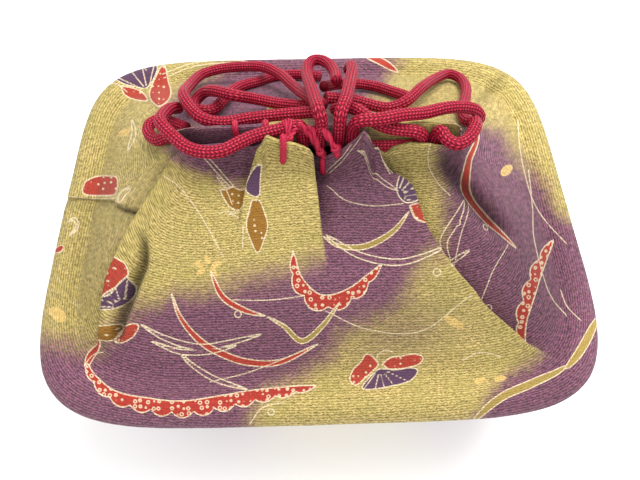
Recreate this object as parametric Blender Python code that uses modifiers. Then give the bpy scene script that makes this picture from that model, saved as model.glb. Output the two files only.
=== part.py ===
"""A basket drawstring bag: a stiff padded basket hull covered in crepe, with a soft crepe upper
that rises from its rim to a slit mouth, thread loops on the mouth's hem and braided drawcords.

Metres, +X to the right, +Y to the back, +Z up. The origin is the middle of the base, on the floor.
"""

import math

import bmesh
import bpy
from mathutils import Vector

MILLIMETRE = 0.001

# Driving dimensions
OVERALL_WIDTH = 0.240  # across the padded rim
OVERALL_DEPTH = 0.197
RIM_HEIGHT = 0.080  # top of the padded rim above the floor
RIM_RADIUS = 0.008  # outside radius of the rounded rim
WALL_FLARE = 0.025  # how far the foot lies inside the rim, on every side
MOUTH_HEIGHT = 0.128  # top of the hem above the floor
MOUTH_LENGTH = 0.112  # clear length of the slit between the hems
MOUTH_GAP = 0.010  # clear width of the slit
MOUTH_SETBACK = 0.001  # how far the slit's middle lies behind the bag's middle
HEM_HEIGHT = 0.012
HEM_LAP = 0.004  # how far the upper laps up the outside of the hem
UPPER_CROWN = 0.002  # how far the upper swells above a straight line from rim to mouth

# Thicknesses of the layers, and the gap that touching pieces keep
COVER_THICKNESS = 0.0016
PADDING_THICKNESS = 0.0045
WALL_THICKNESS = 0.0020
BOARD_THICKNESS = 0.0025
FLOOR_PADDING_THICKNESS = 0.0030
LINING_THICKNESS = 0.0012
UPPER_THICKNESS = 0.0020
HEM_THICKNESS = 0.0022
CLEARANCE = 0.0003

# Cords and threads
CORD_DIAMETER = 0.0050
CORD_STEP = 0.0100  # spacing of the points along a cord
CORD_LEAST_STEPS = 6
CURVE_STEPS = 12  # between two points of a route, before the cord is spaced evenly
THREAD_DIAMETER = 0.0022
THREAD_LEG = 0.0055  # how far a thread loop reaches down the outside of the hem
THREAD_INNER_LEG = 0.0050  # and down the inside of it
THREAD_GAP = 0.0004  # between a thread loop and the hem

# Plan shape: a rounded rectangle, as a superellipse
CORNER_POWER = 5.5
QUADRANT_SHARES = (0, 0.16, 0.29, 0.38, 0.44, 0.48, 0.52, 0.56, 0.62, 0.71, 0.84)  # of 90 degrees
UPPER_ROW_SHARES = (0, 0.1, 0.25, 0.4, 0.55, 0.7, 0.85, 1)

# Where the stiff wall stops and the lining leaves it, below the rim's centre, as shares of its
# radius
WALL_TOP_SHARE = 0.4
LINING_LEAVES_SHARE = 0.75

# Where the layers end on the rounded rim, in degrees round the rim's own circle
COVER_END = 145
PADDING_END = 200
LINING_START = 205
LINING_END = 160

# Depth of each layer's outer face under the outside of the hull
PADDING_DEPTH = COVER_THICKNESS + CLEARANCE
WALL_DEPTH = PADDING_DEPTH + PADDING_THICKNESS + CLEARANCE
LINING_DEPTH = WALL_DEPTH + WALL_THICKNESS + CLEARANCE
FLOOR_DEPTH = LINING_DEPTH + LINING_THICKNESS + CLEARANCE

# Heights of the flat layers in the base
BOARD_BOTTOM = COVER_THICKNESS + CLEARANCE
FLOOR_BOTTOM = BOARD_BOTTOM + BOARD_THICKNESS + CLEARANCE
LINING_BOTTOM = FLOOR_BOTTOM + FLOOR_PADDING_THICKNESS + CLEARANCE

# The hull's wall leans out so that it meets the rim's circle smoothly
RIM_CENTRE_HEIGHT = RIM_HEIGHT - RIM_RADIUS
LEAN = math.atan2(WALL_FLARE - RIM_RADIUS, RIM_CENTRE_HEIGHT) + math.asin(
    RIM_RADIUS / math.hypot(RIM_CENTRE_HEIGHT, WALL_FLARE - RIM_RADIUS)
)

# The neck is where the upper meets the outside of the hem
NECK_HEIGHT = MOUTH_HEIGHT - HEM_HEIGHT
NECK_REACH = HEM_THICKNESS + CLEARANCE + UPPER_THICKNESS
THREAD_RADIUS = THREAD_DIAMETER / 2

# Points of each joint's moving pieces, where their own origins lie
MOUTH_ANCHOR = Vector((0, MOUTH_SETBACK, MOUTH_HEIGHT))
LEFT_ANCHOR = Vector((-MOUTH_LENGTH / 2, MOUTH_SETBACK, MOUTH_HEIGHT))
RIGHT_ANCHOR = Vector((MOUTH_LENGTH / 2, MOUTH_SETBACK, MOUTH_HEIGHT))
FIXED = Vector((0, 0, 0))

# Thread loops stitched round the hem, as shares of the slit's length from its middle
FRONT_THREAD_SHARES = (-0.13, 0.01, 0.075)
BACK_THREAD_SHARES = (-0.285, -0.18)

# Routes of the cords' visible stretches, in millimetres
LEFT_ROUTES = {
    "cord_left_outer": (
        (3, 20, 124), (-2.5, 27.5, 120.5), (-8.5, 44, 109), (-16.5, 63, 99), (-26, 72.5, 95),
        (-38, 77, 91), (-49.5, 78, 88.5), (-58, 73, 89.5), (-59.5, 52.5, 103), (-57, 32, 118.5),
        (-51.5, 20, 122.5), (-46, 14.5, 123), (-38, 13.5, 122), (-27.5, 15.5, 122),
        (-17, 16, 123), (-7.5, 15.5, 124.5), (-0.5, 14, 127),
    ),
    "cord_left_inner": (
        (1, 28, 112.5), (-4.5, 31, 111.5), (-16.5, 36.5, 107.5), (-27.5, 35.5, 112),
        (-35, 31.5, 118.5), (-44, 37.5, 115), (-50, 42.5, 109.5), (-54.5, 40.5, 106.5),
        (-55, 35, 107.5), (-51, 31, 110), (-45.5, 32, 109.5), (-41.5, 40, 107.5),
        (-39, 53.5, 99), (-34.5, 62.5, 93), (-28.5, 68.5, 89), (-22.5, 75.5, 85),
        (-14.5, 79, 83), (-6, 77.5, 84.5), (3.5, 74, 86.5),
    ),
    "cord_left_lower": (
        (-6, 1.5, 121.5), (-6, 2, 127.5), (-7.5, 2.5, 132), (-16, 1, 131.5),
        (-25, -1.5, 131), (-30.5, -4.5, 131), (-36.5, -8, 131), (-43, -8.5, 131),
        (-50, -6, 131), (-56.5, 0, 131.5), (-61.5, 7, 130.5), (-62.5, 16.5, 124.5),
        (-62, 24, 119), (-60.5, 31, 112),
    ),
    "cord_left_ring": (
        (-55, 16, 116), (-60.5, 20.5, 113.5), (-65.5, 24, 112), (-69.5, 25, 111),
        (-72.5, 21.5, 111.5), (-71.5, 16, 112.5), (-67.5, 11.5, 114), (-63, 10.5, 116.5),
        (-60, 10.5, 118.5),
    ),
}
BOW_ROUTES = {
    "cord_bow_left": (
        (0.5, 1.5, 120), (0.5, 2, 127), (1.5, 2.5, 133.5), (0.5, 5, 137.5), (-0.5, 12.5, 134.5),
        (-2, 27, 127), (-3.5, 43.5, 117.5), (-3, 54.5, 112.5), (-0.5, 59.5, 111),
        (3.5, 59, 111.5), (7, 53.5, 114), (9, 43.5, 118.5), (9, 33, 124.5),
    ),
    "cord_bow_right": (
        (8, 1.5, 120), (8.5, 2, 127), (8.5, 2, 133), (9, 4.5, 137), (11, 10.5, 137),
        (13, 21, 132.5), (15, 33.5, 126), (16.5, 43, 121), (16.5, 50, 116.5),
        (15.5, 51.5, 112.5),
    ),
}
RIGHT_ROUTES = {
    "cord_right_arch": (
        (4, 27, 121), (10.5, 28, 119), (16.5, 30.5, 115.5), (22.5, 29.5, 114), (30, 27.5, 113.5),
        (35.5, 28, 114), (41, 31, 114.5), (48.5, 42, 110), (59.5, 61, 96), (70.5, 75, 85.5),
        (76, 71, 86.5), (75.5, 58, 93.5), (71, 43, 102), (66, 30, 109), (65, 20.5, 113),
        (67, 16.5, 116), (68.5, 15.5, 120), (65.5, 16, 124), (59.5, 14.5, 127.5),
        (51.5, 11.5, 130.5), (42, 7, 133), (32.5, 3, 136.5), (23.5, 0, 138), (16, 0, 137),
        (14, 2, 131), (14, 1.5, 122.5),
    ),
    "cord_right_upper": (
        (4, 44.5, 109.5), (11, 52.5, 102.5), (20.5, 58.5, 96.5), (30, 55.5, 97.5),
        (37.5, 48, 101.5), (41.5, 43, 104.5), (43.5, 39.5, 106),
    ),
    "cord_right_lower": (
        (7.5, 19, 122.5), (11.5, 15.5, 127.5), (16, 10.5, 131.5), (21.5, 5, 131.5), (26.5, 2, 131),
        (32, 0.5, 131), (37.5, 0, 130.5), (41, 0.5, 127.5), (41.5, 1.5, 123), (38, 1.5, 120),
        (30, 1.5, 119.5), (20, 1.5, 119.5),
    ),
    "cord_right_curl": (
        (47, 2, 122), (47.5, 1.5, 127.5), (48, -1.5, 131.5), (49.5, -5, 131.5),
        (53.5, -7, 131), (58.5, -4, 131), (62, 2, 130), (64, 8, 126),
    ),
}

COLOURS = {
    "crepe_plum": (0.245, 0.105, 0.190),
    "crepe_olive": (0.330, 0.330, 0.110),
    "wadding": (0.800, 0.780, 0.720),
    "board": (0.420, 0.330, 0.230),
    "basket": (0.520, 0.360, 0.190),
    "lining": (0.400, 0.060, 0.090),
    "thread": (0.520, 0.025, 0.075),
    "cord": (0.450, 0.018, 0.062),
}

for old in list(bpy.data.objects):
    bpy.data.objects.remove(old, do_unlink=True)

bag = bpy.data.collections.new("basket_drawstring_bag")
bpy.context.scene.collection.children.link(bag)


def give_material(piece, colour_name):
    material = bpy.data.materials.new(piece.name + "_material")
    material.use_nodes = True
    shader = material.node_tree.nodes["Principled BSDF"]
    shader.inputs["Base Color"].default_value = (*COLOURS[colour_name], 1)
    shader.inputs["Roughness"].default_value = 0.8
    piece.data.materials.append(material)


def place(name, data, colour_name, anchor):
    piece = bpy.data.objects.new(name, data)
    piece.location = anchor
    bag.objects.link(piece)
    give_material(piece, colour_name)
    return piece


def wall_inset(height, depth):
    """How far a layer at this depth lies inside the rim's outline, at this height."""
    return WALL_FLARE - height * math.tan(LEAN) + depth / math.cos(LEAN)


def rim_section(radius, start, end, steps):
    """(inset, height) pairs on a circle round the rim's centre, from start to end in degrees."""
    section = []
    for step in range(steps + 1):
        angle = math.radians(start + (end - start) * step / steps)
        inset = RIM_RADIUS - radius * math.cos(angle)
        section.append((inset, RIM_CENTRE_HEIGHT + radius * math.sin(angle)))
    return section


def plan_ring(half_x, half_y):
    """Points round a superellipse, from +X by way of +Y."""
    points = []
    for quadrant in range(4):
        for share in QUADRANT_SHARES:
            angle = math.pi / 2 * (quadrant + share)
            across = abs(math.cos(angle)) ** CORNER_POWER
            along = abs(math.sin(angle)) ** CORNER_POWER
            size = (across + along) ** (-1 / CORNER_POWER)
            points.append((half_x * math.cos(angle) * size, half_y * math.sin(angle) * size))
    return points


def hull_rows(section):
    """Rings of the hull's plan, one for each (inset, height) of a section."""
    rows = []
    for inset, height in section:
        ring = plan_ring(OVERALL_WIDTH / 2 - inset, OVERALL_DEPTH / 2 - inset)
        rows.append([Vector((x, y, height)) for x, y in ring])
    return rows


def mouth_ring(reach, height):
    """A ring round the mouth, a reach outside the clear slit."""
    ring = plan_ring(MOUTH_LENGTH / 2 + reach, MOUTH_GAP / 2 + reach)
    return [Vector((x, y + MOUTH_SETBACK, height)) for x, y in ring]


def half_of(rows, back):
    """The back or front half of closed rows, cut at the side seams with half a clearance each."""
    quarter = len(QUADRANT_SHARES)
    side = 1 if back else -1
    halves = []
    for row in rows:
        ring = [point.copy() for point in row]
        if back:
            part = ring[: 2 * quarter + 1]
        else:
            part = ring[2 * quarter :] + [ring[0].copy()]
        part[0].y += side * CLEARANCE / 2
        part[-1].y += side * CLEARANCE / 2
        halves.append(part)
    return halves


def add_shell(name, rows, closed, thickness, colour_name, anchor=FIXED):
    """A loft through rows of points, thickened towards the inside of the bag."""
    mesh = bpy.data.meshes.new(name)
    work = bmesh.new()
    grid = [[work.verts.new(point - anchor) for point in row] for row in rows]
    count = len(rows[0])
    spans = count if closed else count - 1
    for lower, upper in zip(grid, grid[1:]):
        for here in range(spans):
            there = (here + 1) % count
            work.faces.new((lower[here], lower[there], upper[there], upper[here]))
    work.to_mesh(mesh)
    work.free()
    piece = place(name, mesh, colour_name, anchor)
    shell = piece.modifiers.new("thickness", "SOLIDIFY")
    shell.thickness = thickness
    shell.offset = -1
    shell.use_even_offset = True
    return piece


def add_slab(name, inset, bottom, thickness, colour_name):
    """A flat layer with the hull's plan."""
    mesh = bpy.data.meshes.new(name)
    work = bmesh.new()
    ring = plan_ring(OVERALL_WIDTH / 2 - inset, OVERALL_DEPTH / 2 - inset)
    work.faces.new([work.verts.new((x, y, bottom + thickness)) for x, y in ring])
    work.to_mesh(mesh)
    work.free()
    piece = place(name, mesh, colour_name, FIXED)
    slab = piece.modifiers.new("thickness", "SOLIDIFY")
    slab.thickness = thickness
    slab.offset = -1
    return piece


def add_tube(name, points, diameter, colour_name, anchor):
    """A round tube through points, with closed ends."""
    curve = bpy.data.curves.new(name, "CURVE")
    curve.dimensions = "3D"
    curve.bevel_depth = diameter / 2
    curve.bevel_resolution = 2
    curve.use_fill_caps = True
    spline = curve.splines.new("POLY")
    spline.points.add(len(points) - 1)
    for slot, point in zip(spline.points, points):
        slot.co = (*(point - anchor), 1)
    return place(name, curve, colour_name, anchor)


def smooth_route(route):
    """Evenly spaced points on a smooth curve through a route given in millimetres."""
    knots = [Vector(point) * MILLIMETRE for point in route]
    knots = [2 * knots[0] - knots[1]] + knots + [2 * knots[-1] - knots[-2]]
    fine = []
    for before, here, there, after in zip(knots, knots[1:], knots[2:], knots[3:]):
        for step in range(CURVE_STEPS):
            t = step / CURVE_STEPS
            bend = (2 * before - 5 * here + 4 * there - after) * t * t
            twist = (3 * here - before - 3 * there + after) * t * t * t
            fine.append((2 * here + (there - before) * t + bend + twist) / 2)
    fine.append(knots[-2])
    travelled = [0.0]
    for here, there in zip(fine, fine[1:]):
        travelled.append(travelled[-1] + (there - here).length)
    steps = max(CORD_LEAST_STEPS, round(travelled[-1] / CORD_STEP))
    points = []
    index = 0
    for step in range(steps + 1):
        target = travelled[-1] * step / steps
        while index < len(fine) - 2 and travelled[index + 1] < target:
            index += 1
        share = (target - travelled[index]) / (travelled[index + 1] - travelled[index])
        points.append(fine[index].lerp(fine[index + 1], share))
    return points


# The base, from the floor up
add_slab("base_cover", WALL_FLARE, 0, COVER_THICKNESS, "crepe_plum")
add_slab("base_board", wall_inset(BOARD_BOTTOM, WALL_DEPTH), BOARD_BOTTOM, BOARD_THICKNESS, "board")
floor_inset = wall_inset(FLOOR_BOTTOM, FLOOR_DEPTH)
add_slab("floor_padding", floor_inset, FLOOR_BOTTOM, FLOOR_PADDING_THICKNESS, "wadding")
add_slab("lining_floor", floor_inset, LINING_BOTTOM, LINING_THICKNESS, "lining")

# The hull's layers, from the outside in
tangent = -math.degrees(LEAN)
cover_section = [(wall_inset(BOARD_BOTTOM, 0), BOARD_BOTTOM)]
cover_section += [(wall_inset(RIM_CENTRE_HEIGHT / 2, 0), RIM_CENTRE_HEIGHT / 2)]
cover_section += rim_section(RIM_RADIUS, tangent, COVER_END, 9)
cover_rows = hull_rows(cover_section)
add_shell("hull_cover_front", half_of(cover_rows, False), False, COVER_THICKNESS, "crepe_olive")
add_shell("hull_cover_back", half_of(cover_rows, True), False, COVER_THICKNESS, "crepe_plum")

padding_section = [(wall_inset(BOARD_BOTTOM, PADDING_DEPTH), BOARD_BOTTOM)]
padding_section += rim_section(RIM_RADIUS - PADDING_DEPTH, tangent, PADDING_END, 12)
add_shell("wall_padding", hull_rows(padding_section), True, PADDING_THICKNESS, "wadding")

wall_top = RIM_CENTRE_HEIGHT - WALL_TOP_SHARE * RIM_RADIUS
wall_section = [(wall_inset(FLOOR_BOTTOM, WALL_DEPTH), FLOOR_BOTTOM)]
wall_section += [(wall_inset(wall_top, WALL_DEPTH), wall_top)]
add_shell("basket_wall", hull_rows(wall_section), True, WALL_THICKNESS, "basket")

# The lining leaves the wall below the rim and follows the padding's inner curve
lining_section = [(wall_inset(FLOOR_BOTTOM, LINING_DEPTH), FLOOR_BOTTOM)]
lining_leaves = RIM_CENTRE_HEIGHT - LINING_LEAVES_SHARE * RIM_RADIUS
lining_section += [(wall_inset(lining_leaves, LINING_DEPTH), lining_leaves)]
padding_face = RIM_RADIUS - PADDING_DEPTH + CLEARANCE
lining_section += rim_section(padding_face, LINING_START, LINING_END, 4)
add_shell("lining_wall", hull_rows(lining_section), True, LINING_THICKNESS, "lining")

# The upper rises from the cover's edge to the outside of the hem
cover_edge = rim_section(RIM_RADIUS, COVER_END, COVER_END, 1)[0]
foot = hull_rows([(cover_edge[0] + CLEARANCE, cover_edge[1])])[0]
neck = mouth_ring(NECK_REACH, NECK_HEIGHT)


def upper_row(share, drop):
    """A ring of the upper, a share of the way from the rim to the neck."""
    lift = Vector((0, 0, UPPER_CROWN * math.sin(math.pi * share) - drop))
    return [low.lerp(high, share) + lift for low, high in zip(foot, neck)]


upper_rows = [upper_row(share, 0) for share in UPPER_ROW_SHARES]
upper_rows.append(mouth_ring(NECK_REACH, NECK_HEIGHT + HEM_LAP))
add_shell("upper_front", half_of(upper_rows, False), False, UPPER_THICKNESS, "crepe_olive")
add_shell("upper_back", half_of(upper_rows, True), False, UPPER_THICKNESS, "crepe_plum")

# Its lining hangs under it by the same gap everywhere, so it is lowered for the steepest slope
run = foot[0].x - neck[0].x
steepest = math.atan2(neck[0].z - foot[0].z + UPPER_CROWN * math.pi, run)
lining_drop = (UPPER_THICKNESS + CLEARANCE) / math.cos(steepest)
lining_foot_share = (2 * RIM_RADIUS + CLEARANCE - (OVERALL_WIDTH / 2 - foot[0].x)) / run
lining_shares = (lining_foot_share, *UPPER_ROW_SHARES[1:])
lining_rows = [upper_row(share, lining_drop) for share in lining_shares]
add_shell("upper_lining_front", half_of(lining_rows, False), False, LINING_THICKNESS, "lining")
add_shell("upper_lining_back", half_of(lining_rows, True), False, LINING_THICKNESS, "lining")

# The hem stands round the slit
hem_rows = [mouth_ring(HEM_THICKNESS, NECK_HEIGHT), mouth_ring(HEM_THICKNESS, MOUTH_HEIGHT)]
front_hem = half_of(hem_rows, False)
back_hem = half_of(hem_rows, True)
add_shell("hem_front", front_hem, False, HEM_THICKNESS, "crepe_plum", MOUTH_ANCHOR)
add_shell("hem_back", back_hem, False, HEM_THICKNESS, "crepe_plum", MOUTH_ANCHOR)

# Thread loops stand over the hem, one leg on each side of it
outer_leg = MOUTH_GAP / 2 + HEM_THICKNESS + THREAD_GAP + THREAD_RADIUS
inner_leg = MOUTH_GAP / 2 - THREAD_GAP - THREAD_RADIUS
loop_top = MOUTH_HEIGHT + THREAD_GAP + THREAD_RADIUS
for side, word, shares in (
    (-1, "front", FRONT_THREAD_SHARES),
    (1, "back", BACK_THREAD_SHARES),
):
    for number, share in enumerate(shares, 1):
        along = share * MOUTH_LENGTH
        outer_y = MOUTH_SETBACK + side * outer_leg
        inner_y = MOUTH_SETBACK + side * inner_leg
        loop = [Vector((along, outer_y, MOUTH_HEIGHT - THREAD_LEG))]
        loop.append(Vector((along, outer_y, loop_top)))
        loop.append(Vector((along, inner_y, loop_top)))
        loop.append(Vector((along, inner_y, MOUTH_HEIGHT - THREAD_INNER_LEG)))
        loop_name = f"thread_loop_{word}_{number}"
        add_tube(loop_name, loop, THREAD_DIAMETER, "thread", MOUTH_ANCHOR)

# The drawcords' visible stretches
for routes, anchor in (
    (LEFT_ROUTES, LEFT_ANCHOR),
    (BOW_ROUTES, MOUTH_ANCHOR),
    (RIGHT_ROUTES, RIGHT_ANCHOR),
):
    for cord_name, route in routes.items():
        add_tube(cord_name, smooth_route(route), CORD_DIAMETER, "cord", anchor)
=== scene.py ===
import math

import bmesh
import bpy
import numpy as np
from mathutils import Matrix, Vector


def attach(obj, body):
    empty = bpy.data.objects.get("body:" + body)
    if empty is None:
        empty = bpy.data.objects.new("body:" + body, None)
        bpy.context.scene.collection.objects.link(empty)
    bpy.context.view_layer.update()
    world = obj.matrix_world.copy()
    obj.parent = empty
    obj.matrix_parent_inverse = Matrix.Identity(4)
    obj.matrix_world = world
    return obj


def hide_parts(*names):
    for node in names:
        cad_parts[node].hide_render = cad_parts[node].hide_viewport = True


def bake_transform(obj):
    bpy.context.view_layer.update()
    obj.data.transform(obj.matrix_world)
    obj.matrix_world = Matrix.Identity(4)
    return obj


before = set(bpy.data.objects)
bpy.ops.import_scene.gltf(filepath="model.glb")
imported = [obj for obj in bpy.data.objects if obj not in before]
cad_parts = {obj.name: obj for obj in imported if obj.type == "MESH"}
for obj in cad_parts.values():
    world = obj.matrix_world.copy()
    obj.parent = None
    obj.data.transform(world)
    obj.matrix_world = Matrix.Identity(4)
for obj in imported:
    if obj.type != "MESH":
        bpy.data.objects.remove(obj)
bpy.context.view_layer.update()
print("frame loaded")

mm = 0.001
# camera at the photograph's viewing angle; lengths in metres, the photograph in its pixels
view = {
    "place": (-0.0045, -0.1408, 0.3010), "forward": (0.0204, 0.4806, -0.8767), "roll": 0.0143,
    "focalPixels": 560, "photoWidth": 640, "photoHeight": 480, "sensor": 36,
}


def cameraAxes():
    forward = Vector(view["forward"]).normalized()
    level = forward.cross(Vector((0, 0, 1))).normalized()
    rise = level.cross(forward)
    right = level * math.cos(view["roll"]) + rise * math.sin(view["roll"])
    up = rise * math.cos(view["roll"]) - level * math.sin(view["roll"])
    return [np.array(axis) for axis in (right, up, forward)]


photoRight, photoUp, photoForward = cameraAxes()


def addObject(name, data):
    thing = bpy.data.objects.new(name, data)
    bpy.context.scene.collection.objects.link(thing)
    return thing


def addCamera():
    data = bpy.data.cameras.new("photoCamera")
    data.sensor_width = view["sensor"]
    data.lens = view["sensor"] * view["focalPixels"] / view["photoWidth"]
    data.clip_start = 0.01
    camera = addObject("photoCamera", data)
    turn = Matrix((photoRight, photoUp, -photoForward)).transposed().to_4x4()
    camera.matrix_world = Matrix.Translation(view["place"]) @ turn
    bpy.context.scene.camera = camera


addCamera()


def toPhoto(points):
    # where points in metres fall in the photograph
    away = np.asarray(points) - np.array(view["place"])
    depth = away @ photoForward
    across = view["photoWidth"] / 2 + view["focalPixels"] * (away @ photoRight) / depth
    down = view["photoHeight"] / 2 - view["focalPixels"] * (away @ photoUp) / depth
    return np.stack([across, down], axis=-1)


def distances(places, axis):
    # how far each point lies from the first one of its line, its row or its column
    steps = np.linalg.norm(np.diff(places, axis=axis), axis=-1)
    return np.insert(np.cumsum(steps, axis=axis), 0, 0, axis=axis)


def meshFrom(work, name):
    mesh = bpy.data.meshes.new(name)
    work.to_mesh(mesh)
    work.free()
    return mesh


def addMap(mesh, name, spots):
    # a UV map with one spot for each vertex
    corners = np.empty(len(mesh.loops), np.int32)
    mesh.loops.foreach_get("vertex_index", corners)
    spots = spots.reshape(-1, 2)[corners].astype(np.float32)
    mesh.uv_layers.new(name=name).data.foreach_set("uv", spots.ravel())


def mergeMesh(mesh, capped=False):
    # joins vertices that share a place; capped fills the open ends
    work = bmesh.new()
    work.from_mesh(mesh)
    bmesh.ops.remove_doubles(work, verts=work.verts, dist=1e-6)
    if capped:
        bmesh.ops.holes_fill(work, edges=[e for e in work.edges if e.is_boundary], sides=0)
    bmesh.ops.recalc_face_normals(work, faces=work.faces)
    work.to_mesh(mesh)
    work.free()


def gridMesh(name, places, uv, closed=False, capped=False):
    # a grid with each vertex moved to its place; closed joins the last column to the first
    rows, columns = places.shape[:2]
    work = bmesh.new()
    bmesh.ops.create_grid(work, x_segments=columns - 1, y_segments=rows - 1, size=1)
    mesh = meshFrom(work, name)
    mesh.vertices.foreach_set("co", places.astype(np.float32).ravel())
    addMap(mesh, "cloth", uv)
    if closed:
        mergeMesh(mesh, capped)
    mesh.update()
    return mesh


def addPiece(name, mesh, material, nodes, body=None):
    # a piece without a body of its own stretches between the basket and the mouth
    piece = addObject(name, mesh)
    mesh.shade_smooth()
    mesh.materials.append(material)
    if body:
        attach(piece, body)
    else:
        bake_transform(piece)
    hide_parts(*nodes)
    return piece


class Value:
    # a number or colour of a material, worked out by its nodes
    def __init__(self, kit, socket):
        self.kit, self.socket = kit, socket

    def __add__(self, other):
        return self.kit.calc("ADD", self, other)

    def __sub__(self, other):
        return self.kit.calc("SUBTRACT", self, other)

    def __mul__(self, other):
        return self.kit.calc("MULTIPLY", self, other)


class Finish:
    # a material and the nodes behind its colour
    def __init__(self, name):
        self.material = bpy.data.materials.new(name)
        self.material.use_nodes = True
        self.tree = self.material.node_tree
        self.shader = self.tree.nodes["Principled BSDF"]

    def put(self, socket, value):
        if isinstance(value, Value):
            self.tree.links.new(value.socket, socket)
        elif isinstance(value, tuple):
            socket.default_value = (*value, 1)
        else:
            socket.default_value = value

    def node(self, kind, output, inputs=(), **settings):
        node = self.tree.nodes.new("ShaderNode" + kind)
        for key, value in settings.items():
            setattr(node, key, value)
        for key, value in dict(inputs).items():
            self.put(node.inputs[key], value)
        return Value(self, node.outputs[output])

    def calc(self, operation, *values):
        return self.node("Math", 0, enumerate(values), operation=operation)

    def mix(self, share, low, high):
        inputs = {"Factor": share, "A": low, "B": high}
        return self.node("Mix", "Result", inputs, data_type="RGBA")

    def ramp(self, value, low, high, fromValue=0.0, toValue=1.0):
        return self.node("MapRange", 0, enumerate((value, low, high, fromValue, toValue)))

    def noise(self, place, scale, detail):
        return self.node("TexNoise", "Fac", {"Vector": place, "Scale": scale, "Detail": detail})

    def clothMap(self):
        # millimetres across and along the cloth; on a cord or strand, turns and millimetres
        place = self.node("UVMap", 0, uv_map="cloth")
        return [self.node("SeparateXYZ", axis, {0: place}) for axis in "XY"]

    def finish(self, colour, roughness, specular=0.5, relief=None, strength=0.5, depth=0.0):
        self.put(self.shader.inputs["Base Color"], colour)
        self.shader.inputs["Roughness"].default_value = roughness
        self.shader.inputs["Specular IOR Level"].default_value = specular
        if relief is not None:
            bump = {"Height": relief, "Strength": strength, "Distance": depth}
            self.put(self.shader.inputs["Normal"], self.node("Bump", 0, bump))
        return self.material


def spline(knots, counts):
    # a smooth curve through the knots, with so many points on each stretch
    knots = np.vstack([2 * knots[0] - knots[1], knots, 2 * knots[-1] - knots[-2]])
    fine = []
    for before, here, there, after, count in zip(knots, knots[1:], knots[2:], knots[3:], counts):
        for t in np.linspace(0, 1, count, endpoint=False):
            bend = (2 * before - 5 * here + 4 * there - after) * t * t
            twist = (3 * here - before - 3 * there + after) * t**3
            fine.append((2 * here + (there - before) * t + bend + twist) / 2)
    return np.array([*fine, knots[-2]])


def evenPath(route, step):
    # evenly spaced points in metres on a smooth curve through a route in millimetres
    fine = spline(np.array(route, float) * mm, [24] * (len(route) - 1))
    travelled = distances(fine, 0)
    marks = np.linspace(0, travelled[-1], max(8, int(travelled[-1] / step)) + 1)
    return np.stack([np.interp(marks, travelled, axis) for axis in fine.T], axis=1), travelled[-1]


def tubeMesh(name, path, radius, around, relief=None):
    # rings of points round a path, carried along it without twisting
    tangents = np.gradient(path, axis=0)
    tangents /= np.linalg.norm(tangents, axis=1)[:, None]
    side = np.cross(tangents[0], (0, 0, 1.0))
    if np.linalg.norm(side) < 0.3:
        side = np.cross(tangents[0], (1.0, 0, 0))
    side /= np.linalg.norm(side)
    angles = np.linspace(0, 2 * math.pi, around + 1)
    lengths = distances(path, 0)
    rings = []
    for point, tangent, length in zip(path, tangents, lengths):
        side = side - tangent * (side @ tangent)
        side /= np.linalg.norm(side)
        other = np.cross(tangent, side)
        reach = np.full(around + 1, radius)
        if relief:
            reach = reach * (1 + relief(angles, length))
        turned = np.cos(angles)[:, None] * side + np.sin(angles)[:, None] * other
        rings.append(point + reach[:, None] * turned)
    uv = np.stack(np.meshgrid(angles / (2 * math.pi), lengths / mm), axis=-1)
    return gridMesh(name, np.array(rings), uv, closed=True, capped=True)


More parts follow.
